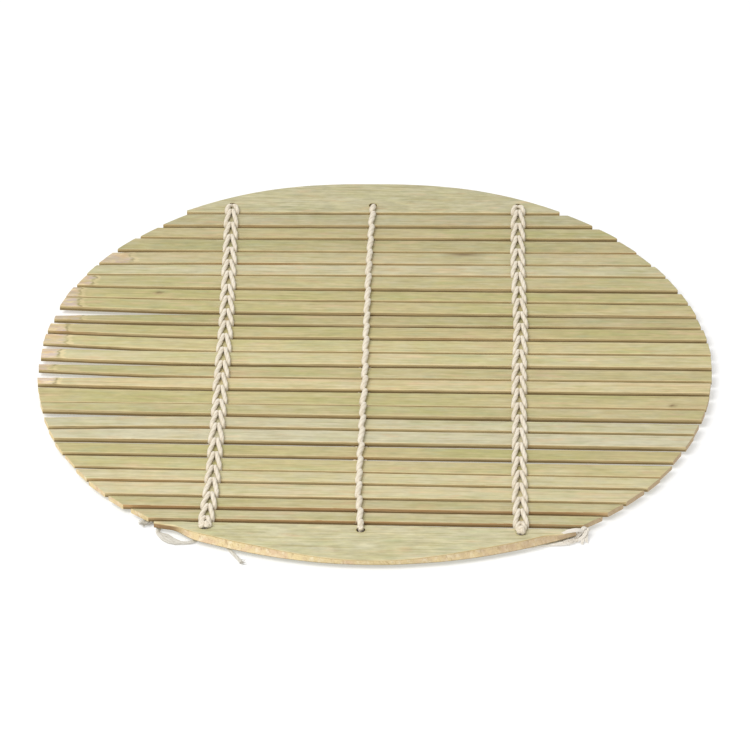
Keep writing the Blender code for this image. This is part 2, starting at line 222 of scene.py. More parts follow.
@dataclass
class Tree:
    """A node tree with short calls for adding its nodes and joining them."""

    tree: bpy.types.NodeTree

    def give(self, socket: Socket, value: object) -> None:
        """Join an output to a socket, or set a constant there."""
        if isinstance(value, Socket):
            self.tree.links.new(value, socket)
        else:
            socket.default_value = value

    def node(self, kind: str, inputs: Mapping | None = None, **settings: object) -> bpy.types.Node:
        """Add a node.

        Args:
            kind: The node's type.
            inputs: A constant or an output for each input, by name or index.
            **settings: The node's own properties.

        Returns:
            The new node.
        """
        made = self.tree.nodes.new(kind)
        for name, value in settings.items():
            setattr(made, name, value)
        for key, value in (inputs or {}).items():
            self.give(pick(made.inputs, key), value)
        return made

    def math(self, operation: str, *values: object, clamp: bool = False) -> Socket:
        """Add a Math node and return its output."""
        made = self.node("ShaderNodeMath", dict(enumerate(values)), operation=operation, use_clamp=clamp)
        return made.outputs[0]

    def plus(self, first: object, second: object) -> Socket:
        """Add two numbers."""
        return self.math("ADD", first, second)

    def minus(self, first: object, second: object) -> Socket:
        """Take the second number from the first."""
        return self.math("SUBTRACT", first, second)

    def times(self, first: object, second: object) -> Socket:
        """Multiply two numbers."""
        return self.math("MULTIPLY", first, second)

    def combine(self, x: object = 0.0, y: object = 0.0, z: object = 0.0) -> Socket:
        """Join three numbers into a vector."""
        return self.node("ShaderNodeCombineXYZ", {0: x, 1: y, 2: z}).outputs[0]

    def separate(self, vector: Socket) -> tuple[Socket, ...]:
        """Split a vector into its three numbers."""
        return tuple(self.node("ShaderNodeSeparateXYZ", {0: vector}).outputs)

    def scaled(self, vector: Socket, factor: object) -> Socket:
        """Scale a vector."""
        inputs = {"Vector": vector, "Scale": factor}
        return self.node("ShaderNodeVectorMath", inputs, operation="SCALE").outputs[0]

    def noise(self, vector: object, scale: float, detail: float = 2.0, seed: object = 0.0,
              rough: float = 0.5) -> Socket:
        """Add a Noise Texture and return its number.

        Args:
            vector: Where it is read.
            scale: Its scale.
            detail: Its number of finer layers.
            seed: Which of its endless variants is read.
            rough: The strength of the finer layers.

        Returns:
            The noise, around 0.5.
        """
        inputs = {"Vector": vector, "W": seed, "Scale": scale, "Detail": detail, "Roughness": rough}
        return self.node("ShaderNodeTexNoise", inputs, noise_dimensions="4D").outputs[0]

    def span(self, value: object, low: float, high: float, to_low: float = 0.0,
             to_high: float = 1.0) -> Socket:
        """Map a number from one span to another with a soft start and end."""
        inputs = {"Value": value, "From Min": low, "From Max": high, "To Min": to_low, "To Max": to_high}
        return self.node("ShaderNodeMapRange", inputs, interpolation_type="SMOOTHSTEP").outputs[0]

    def mix(self, share: object, first: object, second: object) -> Socket:
        """Mix two colours and return the result."""
        inputs = {0: share, 6: paint(first), 7: paint(second)}
        return self.node("ShaderNodeMix", inputs, data_type="RGBA").outputs[2]

    def attribute(self, name: str) -> Socket:
        """Return a shader's output that reads one number stored on a piece's surface."""
        return self.node("ShaderNodeAttribute", attribute_name=name).outputs["Fac"]

    def stored(self, name: str) -> Socket:
        """Return a geometry's output that reads one number stored on its points."""
        inputs = {"Name": name}
        return self.node("GeometryNodeInputNamedAttribute", inputs, data_type="FLOAT").outputs["Attribute"]

    def place(self) -> Socket:
        """Return a geometry's output that reads its points' places."""
        return self.node("GeometryNodeInputPosition").outputs[0]

    def store(self, geometry: Socket, name: str, value: object, where: object = True) -> Socket:
        """Store a number on a geometry's points."""
        inputs = {"Geometry": geometry, "Selection": where, "Name": name, "Value": value}
        return self.node("GeometryNodeStoreNamedAttribute", inputs, data_type="FLOAT",
                         domain="POINT").outputs[0]

    def moved(self, geometry: Socket, **to: Socket) -> Socket:
        """Move a geometry's points by an Offset or to a Position."""
        return self.node("GeometryNodeSetPosition", {"Geometry": geometry, **to}).outputs[0]

    def kept_above(self, geometry: Socket, lowest: Socket) -> Socket:
        """Lift a geometry's points that lie under a level up to it."""
        x, y, z = self.separate(self.place())
        return self.moved(geometry, Position=self.combine(x, y, self.math("MAXIMUM", z, lowest)))

    def shaded(self, geometry: Socket, smooth: bool, where: object = True) -> Socket:
        """Shade a geometry's faces smooth or flat."""
        inputs = {"Geometry": geometry, "Selection": where, "Shade Smooth": smooth}
        return self.node("GeometryNodeSetShadeSmooth", inputs).outputs[0]

    def dressed(self, geometry: Socket, material: Socket, where: object = True) -> Socket:
        """Give a geometry's faces a material."""
        inputs = {"Geometry": geometry, "Selection": where, "Material": material}
        return self.node("GeometryNodeSetMaterial", inputs).outputs[0]

    def joined(self, *geometries: Socket) -> Socket:
        """Join geometries."""
        made = self.node("GeometryNodeJoinGeometry")
        for geometry in geometries:
            self.give(made.inputs[0], geometry)
        return made.outputs[0]

    def real(self, geometry: Socket) -> Socket:
        """Turn a geometry's instances into mesh."""
        return self.node("GeometryNodeRealizeInstances", {"Geometry": geometry}).outputs[0]


def pick(sockets: bpy.types.bpy_prop_collection, key: int | str) -> Socket:
    """Return a socket by index, or the first one in use with that name."""
    if isinstance(key, int):
        return sockets[key]
    in_use = [socket for socket in sockets if socket.name == key and socket.enabled]
    return in_use[0] if in_use else sockets[key]


def paint(value: object) -> object:
    """Return a three-part colour as the four-part one that a socket takes."""
    if isinstance(value, tuple) and len(value) == 3:
        return (*value, 1.0)
    return value


def new_group(name: str, kind: str, inputs: Mapping[str, str],
              outputs: Mapping[str, str]) -> tuple[Tree, dict[str, Socket], dict[str, Socket]]:
    """Make an empty node group.

    Args:
        name: The group's name.
        kind: ShaderNodeTree or GeometryNodeTree.
        inputs: Each input's name and kind, such as Float.
        outputs: Each output's name and kind.

    Returns:
        The tree, the sockets that read its inputs, and the sockets that fill its outputs.
    """
    group = bpy.data.node_groups.new(name, kind)
    for way, labels in (("INPUT", inputs), ("OUTPUT", outputs)):
        for label, sort in labels.items():
            group.interface.new_socket(name=label, in_out=way, socket_type=f"NodeSocket{sort}")
    entry = group.nodes.new("NodeGroupInput")
    leave = group.nodes.new("NodeGroupOutput")
    reads = {label: entry.outputs[label] for label in inputs}
    fills = {label: leave.inputs[label] for label in outputs}
    return Tree(group), reads, fills


def filled(tree: Tree, fills: Mapping[str, Socket], values: Mapping[str, Socket]) -> bpy.types.NodeTree:
    """Join a value to each of a group's outputs, and return the group."""
    for name, value in values.items():
        tree.give(fills[name], value)
    return tree.tree


@dataclass
class GeometryRecipe:
    """A Geometry Nodes tree that turns a plain piece into a finished mesh."""

    tree: bpy.types.NodeTree

    def make(self, source: bpy.types.Object, name: str, values: Mapping[str, object]) -> bpy.types.Object:
        """Run the tree on an object and keep the result as a plain mesh.

        Args:
            source: The object that the tree works on, which is removed.
            name: The finished piece's name.
            values: A value for each named input.

        Returns:
            The finished piece.
        """
        modifier = source.modifiers.new(self.tree.name, "NODES")
        modifier.node_group = self.tree
        for item in self.tree.interface.items_tree:
            if item.in_out == "INPUT" and item.name in values:
                modifier[item.identifier] = values[item.name]
        bpy.context.view_layer.update()
        graph = bpy.context.evaluated_depsgraph_get()
        mesh = bpy.data.meshes.new_from_object(source.evaluated_get(graph))
        mesh.name = name
        bpy.data.objects.remove(source)
        return placed(name, mesh)


def placed(name: str, data: bpy.types.ID) -> bpy.types.Object:
    """Put a mesh, curve, light or camera into the scene as an object."""
    thing = bpy.data.objects.new(name, data)
    bpy.context.scene.collection.objects.link(thing)
    return thing


def seat(piece: bpy.types.Object, slot: Slot, *nodes: str) -> bpy.types.Object:
    """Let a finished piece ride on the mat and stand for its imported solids."""
    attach(piece, BODY)
    if nodes:
        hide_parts(*nodes)
    LOG.info("%s: %d faces", piece.name, len(piece.data.polygons))
    return piece


# Finishes


def new_material(name: str) -> tuple[bpy.types.Material, Tree, Socket]:
    """Return a new material with its tree and the place in a piece's own axes."""
    material = bpy.data.materials.new(name)
    material.use_nodes = True
    tree = Tree(material.node_tree)
    return material, tree, tree.node("ShaderNodeTexCoord").outputs["Object"]


def coat(tree: Tree, **values: object) -> None:
    """Give the Principled shader's inputs, with underscores for spaces, a constant or an output."""
    shader = tree.tree.nodes["Principled BSDF"]
    for name, value in values.items():
        tree.give(shader.inputs[name.replace("_", " ")], paint(value))


def roughened(tree: Tree, height: Socket, depth: float, strength: float) -> Socket:
    """Return the normal of a surface with a bump of some depth and strength."""
    inputs = {"Height": height, "Distance": depth, "Strength": strength}
    return tree.node("ShaderNodeBump", inputs).outputs[0]


class ShaderGroups:
    """Effects that more than one finish uses."""

    def __init__(self) -> None:
        self.grain = self.build_grain()
        self.growth = self.build_growth()
        self.fibre_ends = self.build_fibre_ends()

    @staticmethod
    def build_grain() -> bpy.types.NodeTree:
        """Return the group that draws bamboo's long fibres.

        Returns:
            A group from place and seed to fine streaks, broader bands, soft patches, clouds, mottling,
            shifts of hue, dark flecks and nicks.
        """
        names = ("Streaks", "Bands", "Patches", "Cloud", "Mottle", "Hue", "Flecks", "Nicks")
        inputs = {"Vector": "Vector", "Seed": "Float", "Fine": "Float", "Broad": "Float"}
        outputs = dict.fromkeys(names, "Float")
        tree, reads, fills = new_group("Bamboo grain", "ShaderNodeTree", inputs, outputs)
        x, y, z = tree.separate(reads["Vector"])
        y = tree.plus(y, tree.times(tree.noise(tree.combine(x), 18.0, 1.0, reads["Seed"]), 1.2 * MM))

        def layer(along: float, across: object, shift: float, detail: float, rough: float) -> Socket:
            vector = tree.combine(tree.times(x, along), tree.times(y, across), tree.times(z, across))
            return tree.noise(vector, 1.0, detail, tree.plus(reads["Seed"], shift), rough)

        return filled(tree, fills, {
            "Streaks": layer(60.0, reads["Fine"], 0.0, 4.0, 0.66),
            "Bands": layer(22.0, reads["Broad"], 7.3, 3.0, 0.60),
            "Patches": layer(26.0, 130.0, 3.1, 3.0, 0.55),
            "Cloud": layer(130.0, 420.0, 9.7, 4.0, 0.65),
            "Mottle": layer(240.0, 760.0, 17.3, 3.0, 0.60),
            "Hue": layer(90.0, 520.0, 23.1, 2.0, 0.60),
            "Flecks": tree.span(layer(160.0, 4200.0, 5.7, 2.0, 0.5), 0.62, 0.72),
            "Nicks": tree.span(layer(700.0, 900.0, 12.9, 3.0, 0.6), 0.72, 0.80),
        })

    @staticmethod
    def build_growth() -> bpy.types.NodeTree:
        """Return the group that draws a growth ring from the distance to it.

        Returns:
            A group from signed distance and place to an uneven dark line, a pale band and the tip beyond.
        """
        outputs = dict.fromkeys(("Line", "Band", "Beyond"), "Float")
        inputs = {"Distance": "Float", "Vector": "Vector"}
        tree, reads, fills = new_group("Growth ring", "ShaderNodeTree", inputs, outputs)
        x, y, z = tree.separate(reads["Vector"])
        uneven = tree.minus(tree.noise(tree.combine(tree.times(x, 0.35), y, z), 520.0, 4.0, 5.0, 0.65), 0.5)
        distance = tree.plus(reads["Distance"], tree.times(uneven, 7.0 * MM))
        near = tree.math("ABSOLUTE", distance)
        pale = tree.math("ABSOLUTE", tree.minus(distance, 1.2 * MM))
        return filled(tree, fills, {
            "Line": tree.span(near, 0.10 * MM, 0.75 * MM, 1.0, 0.0),
            "Band": tree.span(pale, 0.3 * MM, 1.3 * MM, 1.0, 0.0),
            "Beyond": tree.span(distance, -1.6 * MM, 0.2 * MM, 1.0, 0.0),
        })

    @staticmethod
    def build_fibre_ends() -> bpy.types.NodeTree:
        """Return the group that draws the cut and torn ends of fibre bundles.

        Returns:
            A group from place and scale to slanting torn fibres, pores and a rough height.
        """
        outputs = dict.fromkeys(("Torn", "Pores", "Height"), "Float")
        inputs = {"Vector": "Vector", "Scale": "Float"}
        tree, reads, fills = new_group("Fibre ends", "ShaderNodeTree", inputs, outputs)
        x, y, z = tree.separate(reads["Vector"])
        slant = tree.plus(tree.times(x, 1500.0), tree.times(z, 800.0))
        slanted = tree.combine(slant, tree.times(y, 700.0), tree.times(z, 500.0))
        torn = tree.noise(slanted, 1.0, 3.0, 1.7, 0.6)
        cells = tree.node("ShaderNodeTexVoronoi", {"Vector": reads["Vector"], "Scale": reads["Scale"]})
        rough = tree.noise(reads["Vector"], 1400.0, 4.0)
        return filled(tree, fills, {
            "Torn": tree.span(torn, 0.52, 0.70),
            "Pores": tree.span(cells.outputs["Distance"], 0.10, 0.34, 1.0, 0.0),
            "Height": tree.plus(rough, tree.times(torn, -0.8)),
        })


def grain_node(tree: Tree, groups: ShaderGroups, place: Socket, fine: float, broad: float) -> Mapping:
    """Add the grain to a material.

    Args:
        tree: The material's tree.
        groups: The shared effects.
        place: Where the grain is read.
        fine: How close the fine streaks lie.
        broad: How close the broader bands lie.

    Returns:
        The grain's outputs.
    """
    inputs = {"Vector": place, "Seed": tree.attribute("seed"), "Fine": fine, "Broad": broad}
    return tree.node("ShaderNodeGroup", inputs, node_tree=groups.grain).outputs


@dataclass(frozen=True)
class BambooSkin:
    """The broad faces of a slat: straw and olive, streaked along the grain."""

    name: str
    olive: Colour = (0.430, 0.402, 0.165)
    straw: Colour = (0.520, 0.440, 0.225)
    blush: Colour = (0.590, 0.425, 0.250)
    bleach: Colour = (0.540, 0.505, 0.355)
    lilac: Colour = (0.530, 0.425, 0.370)
    sage: Colour = (0.425, 0.440, 0.250)
    streak: Colour = (0.300, 0.240, 0.095)
    cream: Colour = (0.680, 0.550, 0.310)
    ring: Colour = (0.150, 0.090, 0.035)
    fine: float = 2600.0
    broad: float = 620.0
    mottling: float = 0.50
    roughness: float = 0.60

    def build(self, groups: ShaderGroups) -> bpy.types.Material:
        """Return the material.

        Args:
            groups: The shared effects.

        Returns:
            The skin's material.
        """
        material, tree, place = new_material(self.name)
        grain = grain_node(tree, groups, place, self.fine, self.broad)
        colour = self.wood(tree, grain)
        colour = self.ringed(tree, groups, place, grain, colour)
        colour = tree.mix(tree.attribute("stain"), colour, self.ring)
        shade = tree.times(tree.minus(grain["Mottle"], 0.5), self.mottling)
        gain = tree.plus(tree.attribute("tone"), tree.plus(shade, 1.0))
        height = tree.plus(tree.times(grain["Streaks"], 0.7), tree.times(grain["Bands"], 0.6))
        rough = tree.span(grain["Streaks"], 0.35, 0.65, self.roughness + 0.12, self.roughness - 0.06)
        coat(tree, Base_Color=tree.scaled(colour, gain), Normal=roughened(tree, height, 0.10 * MM, 0.8),
             Roughness=rough, Specular_IOR_Level=0.30)
        return material

    def wood(self, tree: Tree, grain: Mapping) -> Socket:
        """Return the colour of the bare wood.

        Args:
            tree: The material's tree.
            grain: The grain's outputs.

        Returns:
            The colour.
        """
        colour = tree.mix(tree.span(grain["Patches"], 0.32, 0.66), self.olive, self.straw)
        faded = tree.plus(tree.attribute("bleach"), tree.minus(grain["Cloud"], 0.5))
        rosy = tree.plus(tree.minus(grain["Bands"], 0.68), tree.attribute("tint"))
        # rim: a paler band along the eased edges, partly lighter fibres and partly a painted highlight of
        # the rounded edge
        rim = tree.span(tree.attribute("edge_distance"), 0.05 * MM, 0.48 * MM, 0.60, 0.0)
        for share, shade in (
            (tree.span(faded, 0.02, 0.95), self.bleach),
            (tree.span(rosy, 0.0, 0.50, 0.0, 0.9), self.blush),
            (tree.span(grain["Hue"], 0.54, 0.74, 0.0, 0.55), self.sage),
            (tree.span(grain["Hue"], 0.46, 0.28, 0.0, 0.55), self.blush),
            (tree.span(grain["Streaks"], 0.56, 0.30, 0.0, 0.50), self.streak),
            (tree.span(grain["Streaks"], 0.54, 0.76, 0.0, 0.50), self.cream),
            (tree.times(grain["Flecks"], 0.30), self.streak),
            (tree.times(grain["Nicks"], 0.55), self.cream),
            # Painted highlight along the eased edges, partly pale fibres
            (rim, self.cream),
        ):
            colour = tree.mix(share, colour, shade)
        return colour

    def ringed(self, tree: Tree, groups: ShaderGroups, place: Socket, grain: Mapping,
               colour: Socket) -> Socket:
        """Lay the growth rings and the paler tips beyond them over the wood.

        Args:
            tree: The material's tree.
            groups: The shared effects.
            place: Where they are read.
            grain: The grain's outputs.
            colour: The wood's colour.

        Returns:
            The colour with the rings.
        """
        inputs = {"Distance": tree.attribute("ring"), "Vector": place}
        growth = tree.node("ShaderNodeGroup", inputs, node_tree=groups.growth).outputs
        tip = tree.mix(tree.span(grain["Cloud"], 0.40, 0.60), self.blush, self.lilac)
        tip = tree.mix(tree.span(grain["Mottle"], 0.50, 0.66, 0.0, 0.8), tip, self.cream)
        beyond = tree.times(growth["Beyond"], tree.span(grain["Hue"], 0.36, 0.62, 0.45, 0.95))
        band = tree.times(growth["Band"], tree.span(grain["Cloud"], 0.35, 0.6, 0.1, 0.6))
        line = tree.times(growth["Line"], tree.span(grain["Hue"], 0.38, 0.66, 0.05, 0.50))
        colour = tree.mix(beyond, colour, tip)
        colour = tree.mix(band, colour, self.cream)
        return tree.mix(line, colour, self.ring)


@dataclass(frozen=True)
class SplitSide:
    """The long narrow sides where the cane was split: tan to rust brown and fibrous, with painted shade
    towards their lower edge.
    """

    name: str
    tan: Colour = (0.520, 0.400, 0.190)
    rust: Colour = (0.480, 0.270, 0.110)
    pale: Colour = (0.640, 0.530, 0.300)
    # dark: the grain's dark streaks, and the painted shade low on the sides and in the drilled holes
    dark: Colour = (0.190, 0.130, 0.050)
    fine: float = 3000.0
    broad: float = 900.0
    roughness: float = 0.72

    def build(self, groups: ShaderGroups) -> bpy.types.Material:
        """Return the material.

        Args:
            groups: The shared effects.

        Returns:
            The split side's material.
        """
        material, tree, place = new_material(self.name)
        grain = grain_node(tree, groups, place, self.fine, self.broad)
        rusty = tree.plus(grain["Patches"], tree.attribute("rust"))
        # low: how high on the side a place lies, with some noise; it places the painted shade
        low = tree.plus(tree.attribute("upper"), tree.minus(grain["Patches"], 0.5))
        colour = tree.mix(tree.span(rusty, 0.52, 0.76, 0.0, 0.85), self.tan, self.rust)
        colour = tree.mix(tree.span(grain["Bands"], 0.46, 0.72, 0.0, 0.9), colour, self.pale)
        colour = tree.mix(tree.span(grain["Streaks"], 0.50, 0.28, 0.0, 0.7), colour, self.dark)
        # Painted shade: the sides darken towards their lower edge, where the gap between the slats lies deep
        colour = tree.mix(tree.span(low, 0.28, 0.72, 0.85, 0.0), colour, self.dark)
        coat(tree, Base_Color=colour, Normal=roughened(tree, grain["Streaks"], 0.15 * MM, 0.9),
             Roughness=self.roughness, Specular_IOR_Level=0.3)
        return material


@dataclass(frozen=True)
class SawnEnd:
    """The sawn ends: yellow to salmon, with torn fibres and the pores of their bundles."""

    name: str
    yellow: Colour = (0.710, 0.570, 0.310)
    salmon: Colour = (0.660, 0.480, 0.310)
    pale: Colour = (0.800, 0.700, 0.480)
    torn: Colour = (0.380, 0.260, 0.130)
    brown: Colour = (0.480, 0.350, 0.220)
    # The painted shade under the chipped left tip of the front end slat
    tip_shade_brown: Colour = (0.240, 0.120, 0.050)
    pores: float = 2100.0
    roughness: float = 0.85

    def build(self, groups: ShaderGroups) -> bpy.types.Material:
        """Return the material.

        Args:
            groups: The shared effects.

        Returns:
            The sawn end's material.
        """
        material, tree, place = new_material(self.name)
        inputs = {"Vector": place, "Scale": self.pores}
        fibres = tree.node("ShaderNodeGroup", inputs, node_tree=groups.fibre_ends).outputs
        x, y, _ = tree.separate(place)
        rosy = tree.span(tree.noise(place, 190.0, 3.0), 0.46, 0.68, 0.0, 0.85)
        light = tree.span(tree.noise(place, 620.0, 3.0, 2.0), 0.48, 0.70, 0.0, 0.8)
        aged = tree.plus(tree.times(x, 9.0), tree.noise(place, 330.0, 4.0, 3.0, 0.65))
        # Painted shade: the sawn face at the front end slat's chipped left tip is painted dark where the
        # chip's underside lies in shadow
        painted_tip_shade = tree.times(tree.span(x, -56.0 * MM, -61.5 * MM, 0.0, 0.80),
                                 tree.span(y, -88.0 * MM, -89.0 * MM))
        colour = tree.mix(rosy, self.yellow, self.salmon)
        colour = tree.mix(light, colour, self.pale)
        colour = tree.mix(tree.span(aged, 0.45, 1.15, 0.0, 0.80), colour, self.brown)
        colour = tree.mix(tree.times(fibres["Torn"], 0.55), colour, self.torn)
        colour = tree.mix(tree.times(fibres["Pores"], 0.30), colour, self.torn)
        colour = tree.mix(painted_tip_shade, colour, self.tip_shade_brown)
        coat(tree, Base_Color=colour, Normal=roughened(tree, fibres["Height"], 0.25 * MM, 0.9),
             Roughness=self.roughness, Specular_IOR_Level=0.25)
        return material


@dataclass(frozen=True)
class Cotton:
    """Natural cotton: off-white, with painted shade in its grooves, soft at grazing light."""

    name: str
    base: Colour = (0.770, 0.690, 0.550)
    shade: Colour = (0.540, 0.450, 0.330)
    bright: Colour = (0.860, 0.800, 0.680)
    roughness: float = 0.92

    def build(self) -> bpy.types.Material:
        """Return the material."""
        material, tree, place = new_material(self.name)
        lint = tree.noise(place, 2600.0, 4.0, 0.0, 0.65)
        soil = tree.noise(place, 140.0, 2.0, 4.0)
        colour = tree.mix(tree.span(soil, 0.35, 0.70, 0.0, 0.5), self.base, self.bright)
        colour = tree.mix(tree.span(lint, 0.55, 0.30, 0.0, 0.35), colour, self.shade)
        # Painted shade in the grooves between the plies
        colour = tree.mix(tree.times(tree.attribute("groove"), 0.60), colour, self.shade)
        coat(tree, Base_Color=colour, Normal=roughened(tree, lint, 0.12 * MM, 0.8),
             Roughness=self.roughness, Specular_IOR_Level=0.15, Sheen_Weight=0.35, Sheen_Roughness=0.5)
        return material


@dataclass
class Finishes:
    """Every material of the mat."""

    slat: bpy.types.Material = field(init=False)
    end_slat: bpy.types.Material = field(init=False)
    side: bpy.types.Material = field(init=False)
    sawn: bpy.types.Material = field(init=False)
    cotton: bpy.types.Material = field(init=False)
    frayed: bpy.types.Material = field(init=False)
    # A darker copy of the cotton that stands for painted shade
    shadowed: bpy.types.Material = field(init=False)

    def __post_init__(self) -> None:
        groups = ShaderGroups()
        self.slat = BambooSkin("slat_skin").build(groups)
        self.end_slat = BambooSkin("end_slat_skin", olive=(0.440, 0.420, 0.200), straw=(0.510, 0.455, 0.240),
                                   fine=1900.0, broad=380.0, mottling=0.75).build(groups)
        self.side = SplitSide("split_side").build(groups)
        self.sawn = SawnEnd("sawn_end").build(groups)
        self.cotton = Cotton("natural_cotton").build()
        self.frayed = Cotton("frayed_cotton", base=(0.830, 0.780, 0.690), shade=(0.640, 0.580, 0.490),
                             bright=(0.900, 0.870, 0.800)).build()
        # A darker copy of the cotton as painted shade, for the left thread end and the stub
        self.shadowed = Cotton("shadowed_cotton", base=(0.620, 0.585, 0.510), shade=(0.430, 0.400, 0.330),
                             bright=(0.700, 0.670, 0.600)).build()


# Slats

RELIEF_DEPTH = 0.14 * MM
NICK_DEPTH = 0.30 * MM
STEEP = 0.55
SAME_PLACE = 0.002 * MM
SAME_LEVEL = 0.03 * MM
NO_RING = 20 * MM
SEED_STEP = 3.7
DARKEST_STAIN = 0.90
DRILL_DEPTH = 8 * MM


def slat_recipe() -> GeometryRecipe:
    """Return the tree that gives a slat's plan its thickness, crown, eased edges and finish."""
    numbers = ("Thickness", "Eased Edge", "Crown", "Warp", "Ragged", "Ring Height", "Seed")
    finishes = ("Skin", "Split Side", "Sawn End")
    inputs = {"Geometry": "Geometry", **dict.fromkeys(numbers, "Float"),
              **dict.fromkeys(finishes, "Material")}
    tree, reads, fills = new_group("Split slat", "GeometryNodeTree", inputs, {"Geometry": "Geometry"})

    lift = tree.node("GeometryNodeExtrudeMesh", {"Mesh": reads["Geometry"], "Offset": (0.0, 0.0, 1.0),
                                                 "Offset Scale": reads["Thickness"], "Individual": False})
    raised = tree.store(lift.outputs["Mesh"], "upper", 1.0, lift.outputs["Top"])
    under = tree.node("GeometryNodeFlipFaces", {"Mesh": reads["Geometry"]}).outputs[0]
    closed = tree.node("GeometryNodeMergeByDistance", {"Geometry": tree.joined(under, raised),
                                                       "Distance": 0.001 * MM}).outputs[0]

    def drawn(at: Socket, detail: float, seed: Socket, middle: float = 0.5) -> Socket:
        return tree.minus(tree.noise(at, 1.0, detail, seed), middle)

    upper, across = tree.stored("upper"), tree.stored("across")
    x, y, _ = tree.separate(tree.place())
    seed = reads["Seed"]
    from_edge = tree.math("DIVIDE", tree.stored("edge_distance"), reads["Eased Edge"])
    share = tree.math("SUBTRACT", 1.0, from_edge, clamp=True)
    round_off = tree.minus(1.0, tree.math("SQRT", tree.minus(1.0, tree.times(share, share))))
    fall = tree.times(round_off, reads["Eased Edge"])
    crown = tree.times(reads["Crown"], tree.minus(1.0, tree.times(across, across)))
    ring = tree.math("DIVIDE", tree.stored("ring"), 1.0 * MM)
    hump = tree.math("EXPONENT", tree.times(tree.times(ring, ring), -1.0))
    swell = tree.times(reads["Ring Height"], hump)
    relief_at = tree.combine(tree.times(x, 45.0), tree.times(y, 900.0))
    relief = tree.times(drawn(relief_at, 2.0, seed), RELIEF_DEPTH)
    top = tree.minus(tree.plus(tree.plus(crown, swell), relief), fall)
    rise = tree.plus(tree.times(upper, top), tree.times(tree.minus(1.0, upper), fall))
    sway_at = tree.combine(tree.times(x, 26.0), tree.times(y, 8.0))
    sway = tree.times(drawn(sway_at, 1.0, seed), reads["Warp"])
    nick_at = tree.combine(tree.times(x, 170.0), tree.times(across, 3.0))
    nick = tree.times(drawn(nick_at, 3.0, tree.plus(seed, 11.0)), tree.times(across, NICK_DEPTH))
    ragged_at = tree.combine(0.0, tree.times(y, 1700.0), tree.times(upper, 0.6))
    ragged = tree.times(drawn(ragged_at, 3.0, seed, 0.62),
                        tree.times(tree.stored("end_pull"), reads["Ragged"]))
    slope = tree.times(upper, tree.stored("set_back"))
    moved = tree.moved(closed, Offset=tree.combine(ragged, tree.plus(nick, slope), tree.plus(rise, sway)))

    normal_z = tree.separate(tree.node("GeometryNodeInputNormal").outputs[0])[2]
    steep = tree.math("LESS_THAN", tree.math("ABSOLUTE", normal_z), STEEP)
    sawn = tree.math("GREATER_THAN", tree.stored("cut"), 0.98)
    dressed = tree.dressed(tree.dressed(moved, reads["Skin"]), reads["Split Side"], steep)
    crisp = tree.shaded(tree.shaded(dressed, True), False, sawn)
    tree.give(fills["Geometry"], tree.dressed(tree.real(crisp), reads["Sawn End"], sawn))
    return GeometryRecipe(tree.tree)


@dataclass
class SlatPlan:
    """A slat seen from above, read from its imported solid."""

    node: str
    front: list[Vector] = field(init=False)
    rear: list[Vector] = field(init=False)
    low: float = field(init=False)
    high: float = field(init=False)

    def __post_init__(self) -> None:
        low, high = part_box(self.node)
        self.low, self.high = low[2], high[2]
        ring = self.outline()
        turns = []
        for k, point in enumerate(ring):
            before = point - ring[k - 1]
            after = ring[(k + 1) % len(ring)] - point
            turns.append((abs(before.angle_signed(after)), k))
        corners = sorted(k for _, k in sorted(turns, reverse=True)[:4])
        by_x = sorted(corners, key=lambda k: ring[k].x)
        front_left = min(by_x[:2], key=lambda k: ring[k].y)
        front_right = min(by_x[2:], key=lambda k: ring[k].y)
        rear_left = max(by_x[:2], key=lambda k: ring[k].y)
        rear_right = max(by_x[2:], key=lambda k: ring[k].y)
        self.front = self.walk(ring, front_left, front_right)
        self.rear = self.walk(ring, rear_right, rear_left)[::-1]

    def outline(self) -> list[Vector]:
        """Return the solid's widest outline, anticlockwise seen from above."""
        shape = bmesh.new()
        shape.from_mesh(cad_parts[self.node].data)
        bmesh.ops.remove_doubles(shape, verts=shape.verts, dist=SAME_PLACE)
        level = self.high - CAD_EASED_EDGE
        on_ring = {v for v in shape.verts if abs(v.co.z - level) < SAME_LEVEL}
        start = min(on_ring, key=lambda v: v.co.x)
        ring = [start]
        while True:
            ends = [edge.other_vert(ring[-1]) for edge in ring[-1].link_edges]
            ways = [v for v in ends if v in on_ring and v not in ring]
            if not ways:
                break
            ring.append(ways[0])
        points = [Vector((v.co.x, v.co.y)) for v in ring]
        shape.free()
        area = sum(a.x * b.y - b.x * a.y for a, b in zip(points, points[1:] + points[:1]))
        return points if area > 0 else points[::-1]

    @staticmethod
    def walk(ring: list[Vector], start: int, stop: int) -> list[Vector]:
        """Return the ring's points from one corner forward to another."""
        count = (stop - start) % len(ring)
        return [ring[(start + k) % len(ring)].copy() for k in range(count + 1)]


@dataclass(frozen=True)
class Blemish:
    """A mark in a slat's surface, at X and a share across it from -1 (front) to 1 (rear)."""

    slat: int
    kind: Mark
    x: float
    across: float = 0.0
    size: float = 1.2 * MM
    stretch: float = 1.7


@dataclass(frozen=True)
class Temper:
    """How one slat differs from the rest: lighter, more faded, rosier, with rustier sides."""

    tone: float
    bleach: float
    tint: float = 0.10
    rust: float = 0.0


GROWTH_MARKS = (
    Blemish(4, Mark.RING, -83.5 * MM),
    Blemish(6, Mark.RING, -95.3 * MM),
    Blemish(7, Mark.RING, -99.3 * MM),
    Blemish(8, Mark.RING, -98.8 * MM),
    Blemish(9, Mark.RING, -97.6 * MM),
    Blemish(10, Mark.RING, -101.6 * MM),
    Blemish(11, Mark.RING, -101.4 * MM),
    Blemish(12, Mark.RING, -103.0 * MM),
    Blemish(13, Mark.RING, -104.5 * MM),
    Blemish(14, Mark.RING, -103.0 * MM),
    Blemish(7, Mark.KNOT, -72.8 * MM, 0.1, 1.3 * MM),
    Blemish(4, Mark.KNOT, 28.6 * MM, 0.92, 2.5 * MM, 3.8),
    Blemish(15, Mark.KNOT, 95.5 * MM, -0.6, 1.1 * MM),
)

